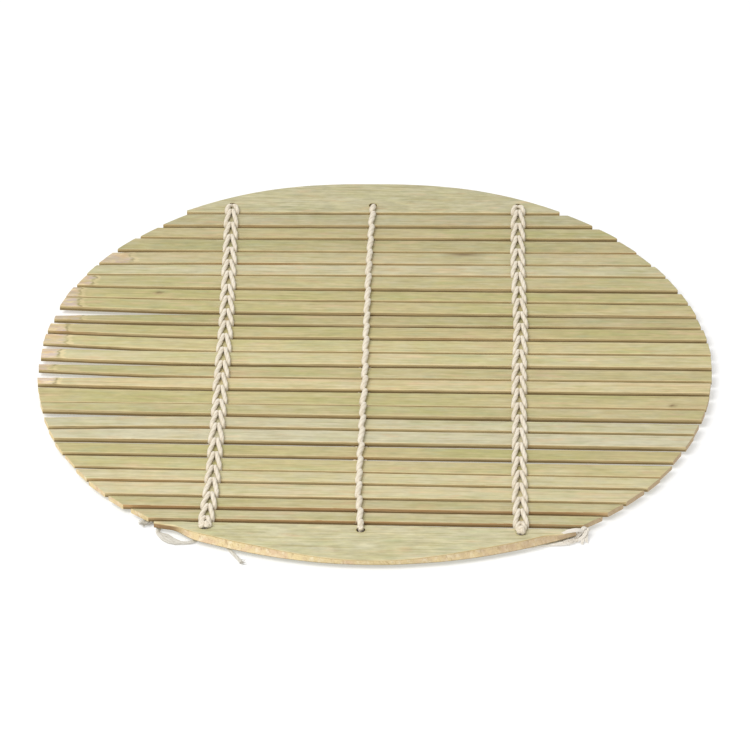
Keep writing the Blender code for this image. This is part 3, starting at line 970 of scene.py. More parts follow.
# The tempers of the rear end slat, the slats from the rear to the front, and the front end slat
TEMPERS = (
    Temper(-0.03, 0.50, 0.02),
    Temper(-0.12, 0.50, 0.20), Temper(-0.07, 0.30), Temper(-0.10, 0.30), Temper(-0.04, 0.40, 0.22),
    Temper(0.02, 0.55), Temper(-0.02, 0.30), Temper(-0.02, 0.15), Temper(0.00, 0.20),
    Temper(-0.10, 0.25, 0.18), Temper(-0.02, 0.15), Temper(0.08, 0.30), Temper(0.11, 0.40, 0.20),
    Temper(-0.03, 0.25), Temper(0.11, 0.40, 0.34), Temper(0.00, 0.20), Temper(-0.03, 0.30),
    Temper(0.02, 0.60), Temper(0.04, 0.75), Temper(-0.03, 0.12, 0.14), Temper(0.03, 0.25),
    Temper(0.09, 0.45, 0.16), Temper(0.09, 0.50, 0.26), Temper(-0.06, 0.30, 0.04, 0.22),
    Temper(-0.04, 0.40, 0.10, 0.30),
    Temper(0.05, 0.50, 0.02),
)


@dataclass
class Slat:
    """One split bamboo slat."""

    plan: SlatPlan
    number: int
    slot: Slot = Slot.SLAT
    sawn_edge: int = 0
    crown: float = 0.10 * MM
    warp: float = 0.16 * MM
    ragged: float = 0.35 * MM
    slope: float = 0.0
    pitch: float = 1.15 * MM
    outline_steps: int = 1

    EDGE_ROWS = (0.0, 0.05 * MM, 0.13 * MM, 0.24 * MM, 0.45 * MM)
    END_COLUMNS = (0.0, 0.20 * MM, 0.60 * MM)

    def columns(self) -> list[float]:
        """Return where the mesh's columns stand, as shares of the slat's length."""
        length = length_of(self.plan.front + self.plan.rear[::-1]) / 2
        count = round(length / self.pitch)
        inner = [k / count for k in range(1, count)]
        near = [v / length for v in self.END_COLUMNS]
        return near + inner + [1 - v for v in reversed(near)]

    def rows(self, width: float) -> list[float]:
        """Return where the mesh's rows stand, as distances from the front edge."""
        inner = width - 2 * self.EDGE_ROWS[-1]
        steps = max(4, round(width / (1.3 * MM)))
        middle = [self.EDGE_ROWS[-1] + inner * k / steps for k in range(1, steps)]
        return [*self.EDGE_ROWS, *middle, *(width - d for d in reversed(self.EDGE_ROWS))]

    def stain_at(self, place: Vector, across: float) -> float:
        """Return how dark the knots nearby make a place, from 0 to 1."""
        dark = 0.0
        for mark in GROWTH_MARKS:
            if mark.kind is Mark.KNOT and mark.slat == self.number:
                offset = Vector(((place.x - mark.x) / mark.stretch, (across - mark.across) * 3 * MM))
                dark = max(dark, math.exp(-((offset.length / (0.6 * mark.size)) ** 2)))
        return DARKEST_STAIN * dark

    def set_back(self, place: Vector, from_edge: float) -> float:
        """Return how far the upper face stands back from its sawn edge at a place, along Y.

        Args:
            place: The place, seen from above.
            from_edge: How far the place is from the sawn edge.

        Returns:
            The shift along Y, inward.
        """
        reach = abs(place.x) / MM
        rise = ease((reach - 4.0) / 34.0) * (1.0 - ease((reach - 52.0) / 10.0))
        return -self.sawn_edge * self.slope * rise * max(0.0, 1.0 - from_edge / (5.0 * MM))

    def plan_mesh(self) -> bpy.types.Object:
        """Return the slat's plan as a flat grid that carries the numbers its finish needs."""
        columns = self.columns()
        front = at_shares(smooth_through(self.plan.front, self.outline_steps), columns)
        rear = at_shares(smooth_through(self.plan.rear, self.outline_steps), columns)
        widest = max((r - f).length for f, r in zip(front, rear))
        rows = self.rows(widest)
        temper = TEMPERS[self.number]
        rings = [m.x for m in GROWTH_MARKS if m.kind is Mark.RING and m.slat == self.number]
        stored = {name: [] for name in ("edge_distance", "across", "ring", "seed", "tone", "tint", "bleach",
                                        "rust", "stain", "cut", "end_pull", "set_back")}
        places = []
        last_row, last_column = len(rows) - 1, len(columns) - 1
        rim = self.EDGE_ROWS[-1]
        for c, (f, r) in enumerate(zip(front, rear)):
            width = (r - f).length
            rim_share = min(rim / width, 0.4)
            for n, row in enumerate(rows):
                if row <= rim:
                    share = rim_share * row / rim
                elif widest - row <= rim + 1e-9:
                    share = 1 - rim_share * (widest - row) / rim
                else:
                    share = rim_share + (1 - 2 * rim_share) * (row - rim) / (widest - 2 * rim)
                place = f.lerp(r, share)
                places.append((place.x, place.y, self.plan.low))
                values = {
                    "edge_distance": min(share, 1 - share) * width,
                    "across": 2 * share - 1,
                    "ring": min((place.x - x for x in rings), key=abs, default=NO_RING),
                    "seed": self.number * SEED_STEP,
                    "tone": temper.tone,
                    "tint": temper.tint,
                    "bleach": temper.bleach,
                    "rust": temper.rust,
                    "stain": self.stain_at(place, 2 * share - 1),
                    "cut": float(c in (0, last_column) or (self.sawn_edge > 0 and n == last_row)
                                 or (self.sawn_edge < 0 and n == 0)),
                    "end_pull": float(c == last_column) - float(c == 0),
                    "set_back": self.set_back(place, (share if self.sawn_edge < 0 else 1 - share) * width),
                }
                for name, value in values.items():
                    stored[name].append(value)
        wide = len(rows)
        faces = [(c * wide + n, (c + 1) * wide + n, (c + 1) * wide + n + 1, c * wide + n + 1)
                 for c in range(last_column) for n in range(last_row)]
        mesh = bpy.data.meshes.new(self.plan.node + "_plan")
        mesh.from_pydata(places, [], faces)
        for name, values in stored.items():
            mesh.attributes.new(name, "FLOAT", "POINT").data.foreach_set("value", values)
        return placed(mesh.name, mesh)

    def build(self, recipe: GeometryRecipe, finishes: Finishes) -> bpy.types.Object:
        """Build and dress the slat.

        Args:
            recipe: The slats' Geometry Nodes tree.
            finishes: The mat's materials.

        Returns:
            The finished piece.
        """
        skin = finishes.slat if self.slot is Slot.SLAT else finishes.end_slat
        values = {
            "Thickness": self.plan.high - self.plan.low,
            "Eased Edge": EASED_EDGE,
            "Crown": self.crown,
            "Warp": self.warp,
            "Ragged": self.ragged,
            "Ring Height": 0.12 * MM,
            "Seed": self.number * 2.3,
            "Skin": skin,
            "Split Side": finishes.side,
            "Sawn End": finishes.sawn,
        }
        name = self.plan.node.replace("slat", "bamboo_slat")
        return recipe.make(self.plan_mesh(), name, values)


@dataclass
class EndSlat(Slat):
    """A wide D-shaped slat with three drilled lacing holes."""

    slot: Slot = Slot.END_SLAT
    hole_radius: float = 1.38 * MM
    crown: float = 0.12 * MM
    outline_steps: int = 4

    def hole_centre(self, row_x: float) -> Vector:
        """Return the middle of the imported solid's hole nearest to a lacing row.

        Args:
            row_x: The row's X.

        Returns:
            The hole's middle, seen from above.
        """
        chord = self.plan.front if self.sawn_edge > 0 else self.plan.rear
        rim = set()
        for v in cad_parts[self.plan.node].data.vertices:
            if abs(v.co.z - self.plan.high) < 0.02 * MM and abs(v.co.x - row_x) < 2.2 * MM:
                inset = abs(v.co.y - level_at(chord, v.co.x))
                if 1.0 * MM < inset < 7.5 * MM:
                    rim.add((round(v.co.x, 6), round(v.co.y, 6)))
        xs = [x for x, _ in rim]
        ys = [y for _, y in rim]
        return Vector(((min(xs) + max(xs)) / 2, (min(ys) + max(ys)) / 2))

    def drill(self, piece: bpy.types.Object, centres: Sequence[Vector], wall: bpy.types.Material) -> None:
        """Drill the lacing holes through the finished piece.

        Args:
            piece: The end slat.
            centres: Each hole's middle, seen from above.
            wall: The finish of the holes' walls, which paints them dark as painted shade.
        """
        for centre in centres:
            shape = bmesh.new()
            place = Matrix.Translation((centre.x, centre.y, (self.plan.low + self.plan.high) / 2))
            bmesh.ops.create_cone(shape, cap_ends=True, segments=40, radius1=self.hole_radius,
                                  radius2=self.hole_radius, depth=DRILL_DEPTH, matrix=place)
            mesh = bpy.data.meshes.new("drill")
            shape.to_mesh(mesh)
            shape.free()
            mesh.materials.append(wall)
            drill = placed("drill", mesh)
            cut = piece.modifiers.new("hole", "BOOLEAN")
            cut.operation = "DIFFERENCE"
            cut.material_mode = "TRANSFER"
            cut.object = drill
            graph = bpy.context.evaluated_depsgraph_get()
            drilled = bpy.data.meshes.new_from_object(piece.evaluated_get(graph))
            piece.modifiers.remove(cut)
            piece.data = drilled
            bpy.data.objects.remove(drill)
        piece.data.set_sharp_from_angle(angle=math.radians(50))


# Cotton twine


def twine_recipe() -> GeometryRecipe:
    """Return the tree that sweeps twisted plies along a row's strands."""
    inputs = {"Geometry": "Geometry", "Step": "Float", "Sides": "Int", "Plies": "Float", "Groove": "Float",
              "Twist": "Float", "Lint": "Float", "Lowest": "Float", "Cotton": "Material"}
    tree, reads, fills = new_group("Twisted twine", "GeometryNodeTree", inputs, {"Geometry": "Geometry"})
    even = tree.node("GeometryNodeResampleCurve", {"Curve": reads["Geometry"], "Length": reads["Step"]},
                     mode="LENGTH").outputs[0]
    walked = tree.node("GeometryNodeSplineParameter").outputs["Length"]
    twist = tree.times(walked, reads["Twist"])
    tilted = tree.node("GeometryNodeSetCurveTilt", {"Curve": even, "Tilt": twist}).outputs[0]

    ring = tree.node("GeometryNodeCurvePrimitiveCircle", {"Resolution": reads["Sides"], "Radius": 1.0})
    index = tree.node("GeometryNodeInputIndex").outputs[0]
    turn = tree.times(index, tree.times(reads["Plies"], math.pi))
    bulge = tree.math("ABSOLUTE", tree.math("COSINE", tree.math("DIVIDE", turn, reads["Sides"])))
    groove = tree.math("POWER", tree.minus(1.0, bulge), 2.0)
    inward = tree.scaled(tree.place(), tree.minus(1.0, tree.times(groove, reads["Groove"])))
    # The groove number also places the cotton finish's painted shade in the grooves
    section = tree.store(tree.moved(ring.outputs[0], Position=inward), "groove", groove)

    thickness = tree.node("GeometryNodeInputRadius").outputs[0]
    swept = tree.node("GeometryNodeCurveToMesh", {"Curve": tilted, "Profile Curve": section,
                                                  "Scale": thickness, "Fill Caps": True}).outputs[0]
    lint = tree.minus(tree.noise(tree.place(), 1500.0, 3.0, 0.0, 0.6), 0.5)
    outward = tree.scaled(tree.node("GeometryNodeInputNormal").outputs[0], tree.times(lint, reads["Lint"]))
    resting = tree.kept_above(tree.moved(swept, Offset=outward), reads["Lowest"])
    whole = tree.real(tree.shaded(resting, True))
    tree.give(fills["Geometry"], tree.dressed(whole, reads["Cotton"]))
    return GeometryRecipe(tree.tree)


def fuzz_recipe() -> GeometryRecipe:
    """Return the tree that lets short curled fibres stand out of the twine."""
    inputs = {"Geometry": "Geometry", "Density": "Float", "Length": "Float", "Fibre Radius": "Float",
              "Seed": "Int", "Lowest": "Float", "Cotton": "Material"}
    tree, reads, fills = new_group("Cotton fuzz", "GeometryNodeTree", inputs, {"Geometry": "Geometry"})
    roots = tree.node("GeometryNodeDistributePointsOnFaces",
                      {"Mesh": reads["Geometry"], "Density": reads["Density"], "Seed": reads["Seed"]},
                      distribute_method="RANDOM").outputs
    hair = tree.node("GeometryNodeCurveQuadraticBezier",
                     {"Resolution": 4, "Start": (0.0, 0.0, -0.1), "Middle": (0.0, 0.35, 0.4),
                      "End": (0.75, 0.55, 0.55)}).outputs[0]
    scale = tree.combine(reads["Length"], reads["Length"], reads["Length"])
    sized = tree.node("GeometryNodeTransform", {"Geometry": hair, "Scale": scale}).outputs[0]
    section = tree.node("GeometryNodeCurvePrimitiveCircle",
                        {"Resolution": 3, "Radius": reads["Fibre Radius"]}).outputs[0]
    fibre = tree.node("GeometryNodeCurveToMesh",
                      {"Curve": sized, "Profile Curve": section, "Fill Caps": True}).outputs[0]
    turn = tree.node("FunctionNodeRandomValue",
                     {"Min": (-0.6, -0.6, 0.0), "Max": (0.6, 0.6, 2 * math.pi), "Seed": reads["Seed"]},
                     data_type="FLOAT_VECTOR").outputs[0]
    heading = tree.node("FunctionNodeRotateRotation", {"Rotation": roots["Rotation"], "Rotate By": turn},
                        rotation_space="LOCAL").outputs[0]
    size = tree.node("FunctionNodeRandomValue", {"Min": 0.35, "Max": 1.0, "Seed": reads["Seed"]},
                     data_type="FLOAT")
    spread = tree.node("GeometryNodeInstanceOnPoints",
                       {"Points": roots["Points"], "Instance": fibre, "Rotation": heading,
                        "Scale": next(socket for socket in size.outputs if socket.enabled)}).outputs[0]
    settled = tree.kept_above(tree.real(spread), reads["Lowest"])
    whole = tree.joined(settled, reads["Geometry"])
    tree.give(fills["Geometry"], tree.dressed(whole, reads["Cotton"]))
    return GeometryRecipe(tree.tree)


@dataclass
class Strand:
    """A length of twine: the points that its middle line passes through, with its radius at each."""

    points: list[Vector] = field(default_factory=list)
    radii: list[float] = field(default_factory=list)

    def add(self, x: float, y: float, z: float, radius: float) -> None:
        """Add a point, in metres."""
        self.points.append(Vector((x, y, z)))
        self.radii.append(radius)

    def laid(self, steps: int) -> list[tuple[Vector, float]]:
        """Return places along the smooth middle line, each with its radius."""
        packed = [Vector((*p, r)) for p, r in zip(self.points, self.radii)]
        return [(v.to_3d(), v[3]) for v in smooth_through(packed, steps)]


def strand_curve(name: str, strands: Sequence[Strand], steps: int) -> bpy.types.Object:
    """Return a curve object with one line for each strand.

    Args:
        name: The curve's name.
        strands: The strands.
        steps: How many places to read between two of a strand's points.

    Returns:
        The curve object.
    """
    curve = bpy.data.curves.new(name, "CURVE")
    curve.dimensions = "3D"
    for strand in strands:
        laid = strand.laid(steps)
        spline = curve.splines.new("POLY")
        spline.points.add(len(laid) - 1)
        for point, (place, radius) in zip(spline.points, laid):
            point.co = (*place, 1.0)
            point.radius = radius
    return placed(name, curve)


@dataclass
class TwineMaker:
    """Turns strands into twisted, slightly fuzzy cotton."""

    cotton: bpy.types.Material
    sweep: GeometryRecipe = field(default_factory=twine_recipe)
    fuzz: GeometryRecipe = field(default_factory=fuzz_recipe)
    step: float = 0.30 * MM
    sides: int = 18
    groove: float = 0.11
    twist: float = 680.0
    lint: float = 0.20 * MM
    plies: float = 3.0
    hair_length: float = 1.5 * MM
    hair_radius: float = 0.022 * MM
    hair_level: float = 0.02 * MM
    smoothing: int = 4

    def make(self, name: str, strands: Sequence[Strand], hairs: float, seed: int) -> bpy.types.Object:
        """Sweep twisted twine along strands.

        Args:
            name: The piece's name.
            strands: The strands.
            hairs: How many loose fibres stand on a square metre of twine.
            seed: The seed of the loose fibres.

        Returns:
            The finished piece.
        """
        values = {"Step": self.step, "Sides": self.sides, "Plies": self.plies, "Groove": self.groove,
                  "Twist": self.twist, "Lint": self.lint, "Lowest": 0.0, "Cotton": self.cotton}
        piece = self.sweep.make(strand_curve(name + "_strands", strands, self.smoothing), name, values)
        if hairs <= 0:
            return piece
        values = {"Density": hairs, "Length": self.hair_length, "Fibre Radius": self.hair_radius,
                  "Seed": seed, "Lowest": self.hair_level, "Cotton": self.cotton}
        return self.fuzz.make(piece, name, values)


@dataclass
class LacingRow:
    """One row of twine: a chain on one side of the mat and a running strand on the other."""

    name: str
    node: str
    stations_x: tuple[float, ...]
    chain_side: Side
    knot_radius: float
    seed: int
    knot_turns: int = 1
    radius: float = 0.75 * MM
    running_radius: float = 0.94 * MM
    under_radius: float = 0.74 * MM
    spread: float = 1.82 * MM
    wobble: float = 0.10 * MM

    crossings: list[float] = field(init=False, default_factory=list)
    surfaces: list[float] = field(init=False, default_factory=list)

    def row_x(self, y: float) -> float:
        """Return the row's X at Y."""
        return between(ROW_STATIONS_Y, self.stations_x, y / MM) * MM

    def measure(self, plans: Sequence[SlatPlan], rear_hole: Vector, front_hole: Vector) -> None:
        """Find where the row crosses between the slats, and each slat's height there.

        Args:
            plans: The slats' plans from the rear to the front.
            rear_hole: The middle of its hole in the rear end slat.
            front_hole: The middle of its hole in the front end slat.
        """
        self.crossings = [rear_hole.y]
        for behind, ahead in zip(plans, plans[1:]):
            x = self.row_x(behind.front[0].y)
            self.crossings.append((level_at(behind.front, x) + level_at(ahead.rear, x)) / 2)
        self.crossings.append(front_hole.y)
        self.surfaces = [plan.high for plan in plans]

    def surface(self, side: Side, k: int) -> float:
        """Return the level of slat k's face on one side of the mat."""
        return self.surfaces[min(max(k, 0), len(self.surfaces) - 1)] if side is Side.UPPER else UNDERSIDE

    def chain(self, draw: random.Random) -> list[Strand]:
        """Return the chain's links, each from one gap over a slat into the next gap and back.

        Args:
            draw: The source of the links' small differences.

        Returns:
            One strand for each link.
        """
        side = self.chain_side
        out = side.value
        rise = 0.30 * MM if side is Side.UPPER else -0.02 * MM
        r = self.radius if side is Side.UPPER else self.under_radius
        links = []
        last = len(self.crossings) - 2
        for k in range(len(self.crossings) - 1):
            near, far = self.crossings[k], self.crossings[k + 1]
            pitch = near - far
            face = self.surface(side, k)
            peak = max(face, self.surface(side, k - 1)) if side is Side.UPPER else UNDERSIDE
            spread = 0.75 * MM if k == last else self.spread + draw.uniform(-0.5, 0.5) * self.wobble
            back = -1.35 * MM if k == 0 else 0.0
            hump = 0.0 if k == 0 else rise
            crest = 0.30 * MM if k == 0 else 0.50 * MM + rise
            inner = UNDERSIDE - 0.2 * MM if side is Side.UPPER else UNDERSIDE + 0.4 * MM
            dive = 1.0 if side is Side.UPPER else 0.25
            lean = draw.uniform(-1, 1) * self.wobble
            path = (
                (0.30 * MM, near + 0.05 * MM + 0.35 * back, inner, 0.52 * MM),
                (0.40 * MM, near + 0.20 * MM + 0.50 * back, peak - out * 0.25 * MM, 0.52 * MM),
                (0.47 * MM, near + 0.42 * MM + 0.80 * back, peak + out * crest, 0.58 * MM),
                (0.62 * MM, near - 0.25 * MM + back, peak + out * (0.72 * r + hump), 0.68 * MM),
                (1.02 * MM, near - 0.34 * pitch, face + out * (0.98 * r + 0.4 * rise), r),
                (0.5 * spread + 0.68 * MM, near - 0.66 * pitch, face + out * 0.97 * r, r),
                (spread, far + 0.60 * MM, face + out * 0.78 * r, 0.94 * r),
                (spread - 0.10 * MM, far + 0.12 * MM, face - out * dive * 0.45 * MM, 0.70 * MM),
                (0.55 * spread, far - 0.05 * MM, face - out * dive * 1.00 * MM, 0.48 * MM),
            )
            strand = Strand()
            for x, y, z, radius in path:
                strand.add(self.row_x(y) - x + lean, y + draw.uniform(-0.5, 0.5) * self.wobble, z, radius)
            strand.add(self.row_x(far) + lean, far - 0.05 * MM, face - out * dive * 1.10 * MM, 0.45 * MM)
            for x, y, z, radius in reversed(path):
                strand.add(self.row_x(y) + x + lean, y + draw.uniform(-0.5, 0.5) * self.wobble, z, radius)
            links.append(strand)
        return links

    def running(self, draw: random.Random) -> Strand:
        """Return the single strand on the other side, which steps sideways at each gap.

        Args:
            draw: The source of its small differences.

        Returns:
            The strand from the rear hole to the front hole.
        """
        side = Side.UNDER if self.chain_side is Side.UPPER else Side.UPPER
        out = side.value
        r = self.running_radius if side is Side.UPPER else self.under_radius
        strand = Strand()
        last = len(self.crossings) - 2
        inside = UNDERSIDE if side is Side.UPPER else self.surface(Side.UPPER, 0)
        strand.add(self.row_x(self.crossings[0]), self.crossings[0], inside, 0.60 * MM)
        for k in range(len(self.crossings) - 1):
            near, far = self.crossings[k], self.crossings[k + 1]
            if k == 0:
                near -= 1.15 * MM
            pitch = near - far
            face = self.surface(side, k)
            step = (0.32 + draw.uniform(-0.08, 0.08)) * MM
            for shift, y, height, radius in (
                (step, near - 0.01 * pitch, 0.40 * r, 0.70 * r),
                (1.10 * step, near - 0.10 * pitch, 0.80 * r, 0.90 * r),
                (0.70 * step, near - 0.30 * pitch, 1.00 * r, r),
                (0.0, near - 0.55 * pitch, 1.02 * r, r),
                (-0.70 * step, near - 0.80 * pitch, 0.96 * r, 0.98 * r),
                (-0.95 * step, far + 0.07 * pitch, 0.66 * r, 0.86 * r),
            ):
                if k == last and shift < 0:
                    continue
                strand.add(self.row_x(y) + shift, y, face + out * height, radius)
        strand.add(self.row_x(self.crossings[-1]), self.crossings[-1], inside, 0.60 * MM)
        return strand

    def ties(self) -> list[Strand]:
        """Return the upright stretches in the holes and gaps that join the two sides."""
        ties = []
        for k, y in enumerate(self.crossings):
            tie = Strand()
            y -= 0.45 * MM if k == 0 else 0.0
            top = max(self.surface(Side.UPPER, k), self.surface(Side.UPPER, k - 1))
            for share in (0.0, 0.5, 1.0):
                level = 0.75 * MM + share * (top - 0.85 * MM)
                tie.add(self.row_x(y) + (share - 0.5) * 0.4 * MM, y, level, 0.52 * MM)
            ties.append(tie)
        return ties

    def knot(self, draw: random.Random) -> list[Strand]:
        """Return the overhand knot that stops the twine on the front end slat.

        Args:
            draw: The source of its turn.

        Returns:
            The knot's strands.
        """
        y = self.crossings[-1]
        size = self.knot_radius
        strands = []
        for lump in range(self.knot_turns):
            centre = Vector((self.row_x(y) + (lump - 0.5 * (self.knot_turns - 1)) * 1.5 * size, y - 0.1 * MM,
                             self.surfaces[-1] + 0.95 * size))
            axis = Vector((draw.uniform(-1, 1), draw.uniform(-1, 1), 1.0)).normalized()
            turn = Quaternion(axis, draw.uniform(0, 6))
            strand = Strand()
            for k in range(19):
                t = 2 * math.pi * k / 18
                loop = Vector((math.sin(t) + 2 * math.sin(2 * t), math.cos(t) - 2 * math.cos(2 * t),
                               -math.sin(3 * t)))
                strand.add(*(centre + turn @ loop * (0.24 * size)), 0.50 * size)
            strands.append(strand)
        return strands

    def build(self, maker: TwineMaker) -> bpy.types.Object:
        """Build and dress the row.

        Args:
            maker: Sweeps the twine.

        Returns:
            The finished piece.
        """
        draw = random.Random(self.seed)
        strands = [*self.chain(draw), self.running(draw), *self.ties(), *self.knot(draw)]
        return maker.make(self.name, strands, 4.0e5, self.seed)


@dataclass(frozen=True)
class Ply:
    """A loosened ply that bows out beside a thread, between two shares of its length."""

    start: float
    stop: float
    bow: float
    radius: float = 0.44 * MM


LEFT_PLIES = (Ply(0.34, 0.66, -0.75 * MM), Ply(0.36, 0.68, -1.45 * MM), Ply(0.34, 0.64, 0.80 * MM),
              Ply(0.40, 0.70, -2.1 * MM, 0.34 * MM), Ply(0.66, 0.99, -0.8 * MM), Ply(0.72, 0.98, 0.7 * MM))
RIGHT_PLIES = (Ply(0.48, 0.88, 0.75 * MM), Ply(0.52, 0.92, 1.4 * MM), Ply(0.54, 0.96, -0.7 * MM),
               Ply(0.58, 0.98, -1.3 * MM), Ply(0.66, 1.00, 0.9 * MM))

# Loosened plies that leave the thread, as points in millimetres
RIGHT_STRAYS = (
    ((58.6, -93.9, 3.50), (60.3, -93.4, 3.72), (62.5, -92.8, 3.75), (64.4, -91.8, 3.00),
     (65.2, -90.6, 1.80)),
    ((59.8, -93.0, 3.50), (61.4, -92.7, 3.75), (63.4, -92.1, 3.65), (65.0, -91.0, 2.60),
     (65.6, -90.0, 1.40)),
    ((62.6, -93.1, 0.90), (64.0, -92.1, 2.20), (65.0, -90.8, 3.20), (65.7, -89.9, 2.90)),
    ((63.0, -94.2, 0.60), (64.5, -93.4, 1.30), (65.7, -92.3, 1.90), (66.1, -91.0, 2.60)),
    ((64.6, -95.2, 0.45), (65.0, -93.7, 0.90), (65.3, -92.0, 1.80), (65.0, -90.7, 2.90)),
    ((66.3, -94.4, 0.45), (66.1, -92.8, 1.10), (66.3, -91.2, 1.90), (66.5, -90.0, 2.70)),
)


@dataclass
class ThreadEnd:
    """A loose thread end that lies beside the front end slat and frays towards its tip."""

    frayed_cotton: bpy.types.Material
    name: str
    node: str
    route: tuple[Point2, ...]
    seed: int
    fibres: int
    fibre_length: float
    frayed: float
    spray: float
    plies: tuple[Ply, ...] = ()
    strays: tuple[tuple[Point3, ...], ...] = ()
    stray_copies: int = 2
    free: bool = True

    def middle_line(self) -> list[Vector]:
        """Return the thread's smooth middle line."""
        return smooth_through(mm_points(self.route, THREAD_LEVEL), 6)

    def loose_ply(self, ply: Ply, draw: random.Random) -> Strand:
        """Return a ply that has come away from the thread.

        Args:
            ply: Where it leaves the thread and how far it bows out.
            draw: The source of its small waves.

        Returns:
            The ply's strand.
        """
        line = self.middle_line()
        steps = 14
        places = at_shares(line, [ply.start + (ply.stop - ply.start) * k / steps for k in range(steps + 1)])
        strand = Strand()
        for k, place in enumerate(places):
            ahead = places[min(k + 1, steps)] - places[max(k - 1, 0)]
            sideways = Vector((-ahead.y, ahead.x, 0.0)).normalized()
            out = ply.bow * math.sin(math.pi * k / steps) + draw.uniform(-0.05, 0.05) * MM
            spot = place + sideways * out
            strand.add(spot.x, spot.y, ply.radius + draw.uniform(0.05, 0.25) * MM, ply.radius)
        return strand

    def fibre(self, line: Sequence[Vector], draw: random.Random) -> Strand:
        """Return one fibre that stands out of the frayed stretch.

        Args:
            line: The thread's middle line.
            draw: The source of its place, heading and curl.

        Returns:
            The fibre's strand.
        """
        thick = draw.uniform(0.06, 0.13) * MM
        share = 1.0 - self.frayed * draw.random() ** 1.3
        root = at_shares(line, (0.0, share))[1]
        ahead = line[-1] - line[-4]
        heading = math.atan2(ahead.y, ahead.x) + draw.gauss(0.0, self.spray)
        curl = draw.uniform(-2.2, 2.2)
        lift = draw.uniform(-0.2, 0.9)
        reach = self.fibre_length * draw.uniform(0.4, 1.0)
        place = Vector((root.x, root.y, THREAD_LEVEL + draw.uniform(-0.3, 0.5) * MM))
        strand = Strand()
        steps = 6
        for step in range(steps + 1):
            walked = step / steps
            strand.add(place.x, place.y, max(place.z, thick), thick * (1.0 - 0.5 * walked))
            bend = heading + curl * walked
            place = place + Vector((math.cos(bend), math.sin(bend), lift * (0.8 - walked))) * (reach / steps)
        return strand

    def tuft(self, maker: TwineMaker) -> bpy.types.Object:
        """Return what has come loose: bowed plies and spread fibres.

        Args:
            maker: Sweeps the plies and fibres.

        Returns:
            The tuft.
        """
        draw = random.Random(self.seed)
        line = self.middle_line()
        strands = [self.loose_ply(ply, draw) for ply in self.plies]
        for route in self.strays:
            for copy in range(self.stray_copies):
                strand = Strand()
                shift = (0.45 * copy + draw.uniform(-0.12, 0.12)) * MM
                for k, (x, y, z) in enumerate(route):
                    strand.add(x * MM + shift, y * MM - 0.35 * shift, z * MM - 0.25 * shift,
                               (0.16 if k == 0 else 0.36) * MM)
                strands.append(strand)
        strands += [self.fibre(line, draw) for _ in range(self.fibres)]
        loose = replace(maker, cotton=self.frayed_cotton, step=0.4 * MM, sides=6, groove=0.1, twist=0.0,
                        lint=0.05 * MM, smoothing=2)
        return loose.make(self.name + "_tuft", strands, 0.0, self.seed)

    def build(self, maker: TwineMaker) -> None:
        """Args:
            maker: Sweeps the twine.
        """
        line = self.middle_line()
        strand = Strand(list(line), [THREAD_DIAMETER / 2] * len(line))
        piece = replace(maker, cotton=self.frayed_cotton).make(self.name, [strand], 0.0, self.seed)
        seat(piece, Slot.THREAD_END, self.node)
        tuft = seat(self.tuft(maker), Slot.THREAD_END)
        if self.free:
            round(length_of(line), 4)


# Studio


@dataclass
class Studio:
    """A plain pale floor, soft light and the camera at the photograph's viewing angle."""

    camera_place: Point3 = (17.5 * MM, -1126.0 * MM, 764.8 * MM)
    camera_target: Point3 = (-0.12 * MM, -3.82 * MM, 0.0)
    camera_roll: float = math.radians(0.119)
    lens: float = 200.5
    floor_colour: Colour = (0.62, 0.62, 0.617)
    floor_glow: float = 0.36
    sky_strength: float = 0.72
    key_energy: float = 12.5

    def camera(self) -> None:
        """Add the camera."""
        data = bpy.data.cameras.new("camera")
        data.lens = self.lens
        data.sensor_width = 36.0
        data.clip_start = 0.05
        data.clip_end = 20.0
        camera = placed("camera", data)
        place, target = Vector(self.camera_place), Vector(self.camera_target)
        turn = (target - place).to_track_quat("-Z", "Y") @ Quaternion((0.0, 0.0, 1.0), self.camera_roll)
        camera.matrix_world = Matrix.Translation(place) @ turn.to_matrix().to_4x4()
        bpy.context.scene.camera = camera

    def floor(self) -> None:
        """Add the floor."""
        shape = bmesh.new()
        bmesh.ops.create_grid(shape, x_segments=1, y_segments=1, size=6.0)
        mesh = bpy.data.meshes.new("floor")
        shape.to_mesh(mesh)
        shape.free()
        floor = placed("floor", mesh)
        floor.location.z = -0.01 * MM
        material, tree, _ = new_material("pale_floor")
        coat(tree, Base_Color=self.floor_colour, Emission_Color=(1.0, 1.0, 1.0),
             Emission_Strength=self.floor_glow, Roughness=0.9, Specular_IOR_Level=0.1)
        mesh.materials.append(material)

    def lights(self) -> None:
        """Add a bright even surround and one large soft light from the upper left."""
        world = bpy.data.worlds.new("surround")
        world.use_nodes = True
        surround = world.node_tree.nodes["Background"]
        surround.inputs["Color"].default_value = (1.0, 1.0, 1.0, 1.0)
        surround.inputs["Strength"].default_value = self.sky_strength
        bpy.context.scene.world = world
        light = bpy.data.lights.new("soft_key", "AREA")
        light.shape = "DISK"
        light.size = 0.9
        light.energy = self.key_energy
        key = placed("soft_key", light)
        key.location = (-0.65, -0.45, 1.15)
        key.rotation_euler = (-Vector(key.location)).to_track_quat("-Z", "Y").to_euler()

    def build(self) -> None:
        """Set up the studio."""
        self.camera()
        self.floor()
        self.lights()
        bpy.context.scene.view_settings.view_transform = "Standard"
        LOG.info("studio ready")


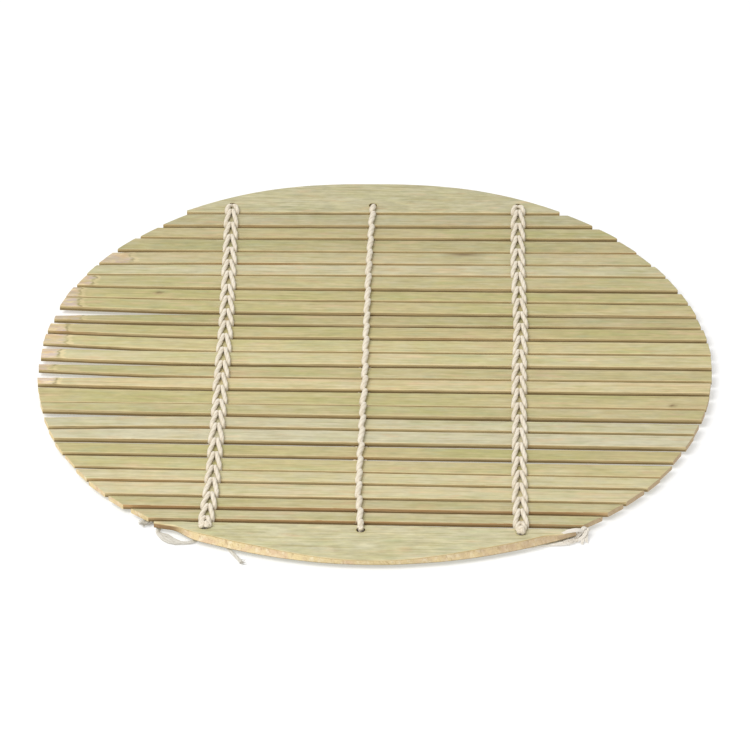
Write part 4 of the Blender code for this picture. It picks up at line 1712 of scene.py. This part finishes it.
def main() -> None:
    """Build the mat piece by piece."""
    logging.basicConfig(level=logging.INFO, format="%(message)s")
    Studio().build()
    finishes = Finishes()
    maker = TwineMaker(finishes.cotton)
    frayed, shadowed = finishes.frayed, finishes.shadowed
    # The left thread end and the stub take the darker cotton, as painted shade
    ThreadEnd(shadowed, "thread_end_left_cotton", "thread_end_left", LEFT_THREAD, 31, 400, 2.1 * MM, 0.24, 2.6,
              plies=LEFT_PLIES).build(maker)
    ThreadEnd(frayed, "thread_end_right_cotton", "thread_end_right", RIGHT_THREAD, 32, 300, 2.6 * MM, 0.30,
              2.6, plies=RIGHT_PLIES, strays=RIGHT_STRAYS).build(maker)
    ThreadEnd(shadowed, "thread_stub_left_cotton", "thread_stub_left", LEFT_STUB, 33, 22, 2.2 * MM, 0.10, 0.30,
              free=False).build(maker)

    recipe = slat_recipe()
    rear_end = EndSlat(SlatPlan("end_slat_rear"), 0, sawn_edge=1)
    front_end = EndSlat(SlatPlan("end_slat_front"), 25, sawn_edge=-1, slope=2.1 * MM)
    slats = [Slat(SlatPlan(f"slat_{number:02d}"), number) for number in range(1, 25)]
    plans = [rear_end.plan, *(slat.plan for slat in slats), front_end.plan]
    rows = (
        LacingRow("lacing_left_twine", "lacing_left", ROW_LEFT_X, Side.UPPER, 1.15 * MM, 11, 2),
        LacingRow("lacing_centre_twine", "lacing_centre", ROW_CENTRE_X, Side.UNDER, 0.95 * MM, 12),
        LacingRow("lacing_right_twine", "lacing_right", ROW_RIGHT_X, Side.UPPER, 1.30 * MM, 13),
    )
    for end in (rear_end, front_end):
        piece = end.build(recipe, finishes)
        chord_y = end.plan.front[0].y if end.sawn_edge > 0 else end.plan.rear[0].y
        # The holes' walls take the split side's finish; lacking the upper number, they come out dark as
        # painted shade.
        end.drill(piece, [end.hole_centre(row.row_x(chord_y)) for row in rows], finishes.side)
        seat(piece, end.slot, end.plan.node)
    for slat in slats:
        seat(slat.build(recipe, finishes), slat.slot, slat.plan.node)
    for row in rows:
        row.measure(plans, rear_end.hole_centre(row.stations_x[0] * MM),
                    front_end.hole_centre(row.stations_x[-1] * MM))
        seat(row.build(maker), Slot.TWINE, row.node)


if __name__ == "__main__":
    main()
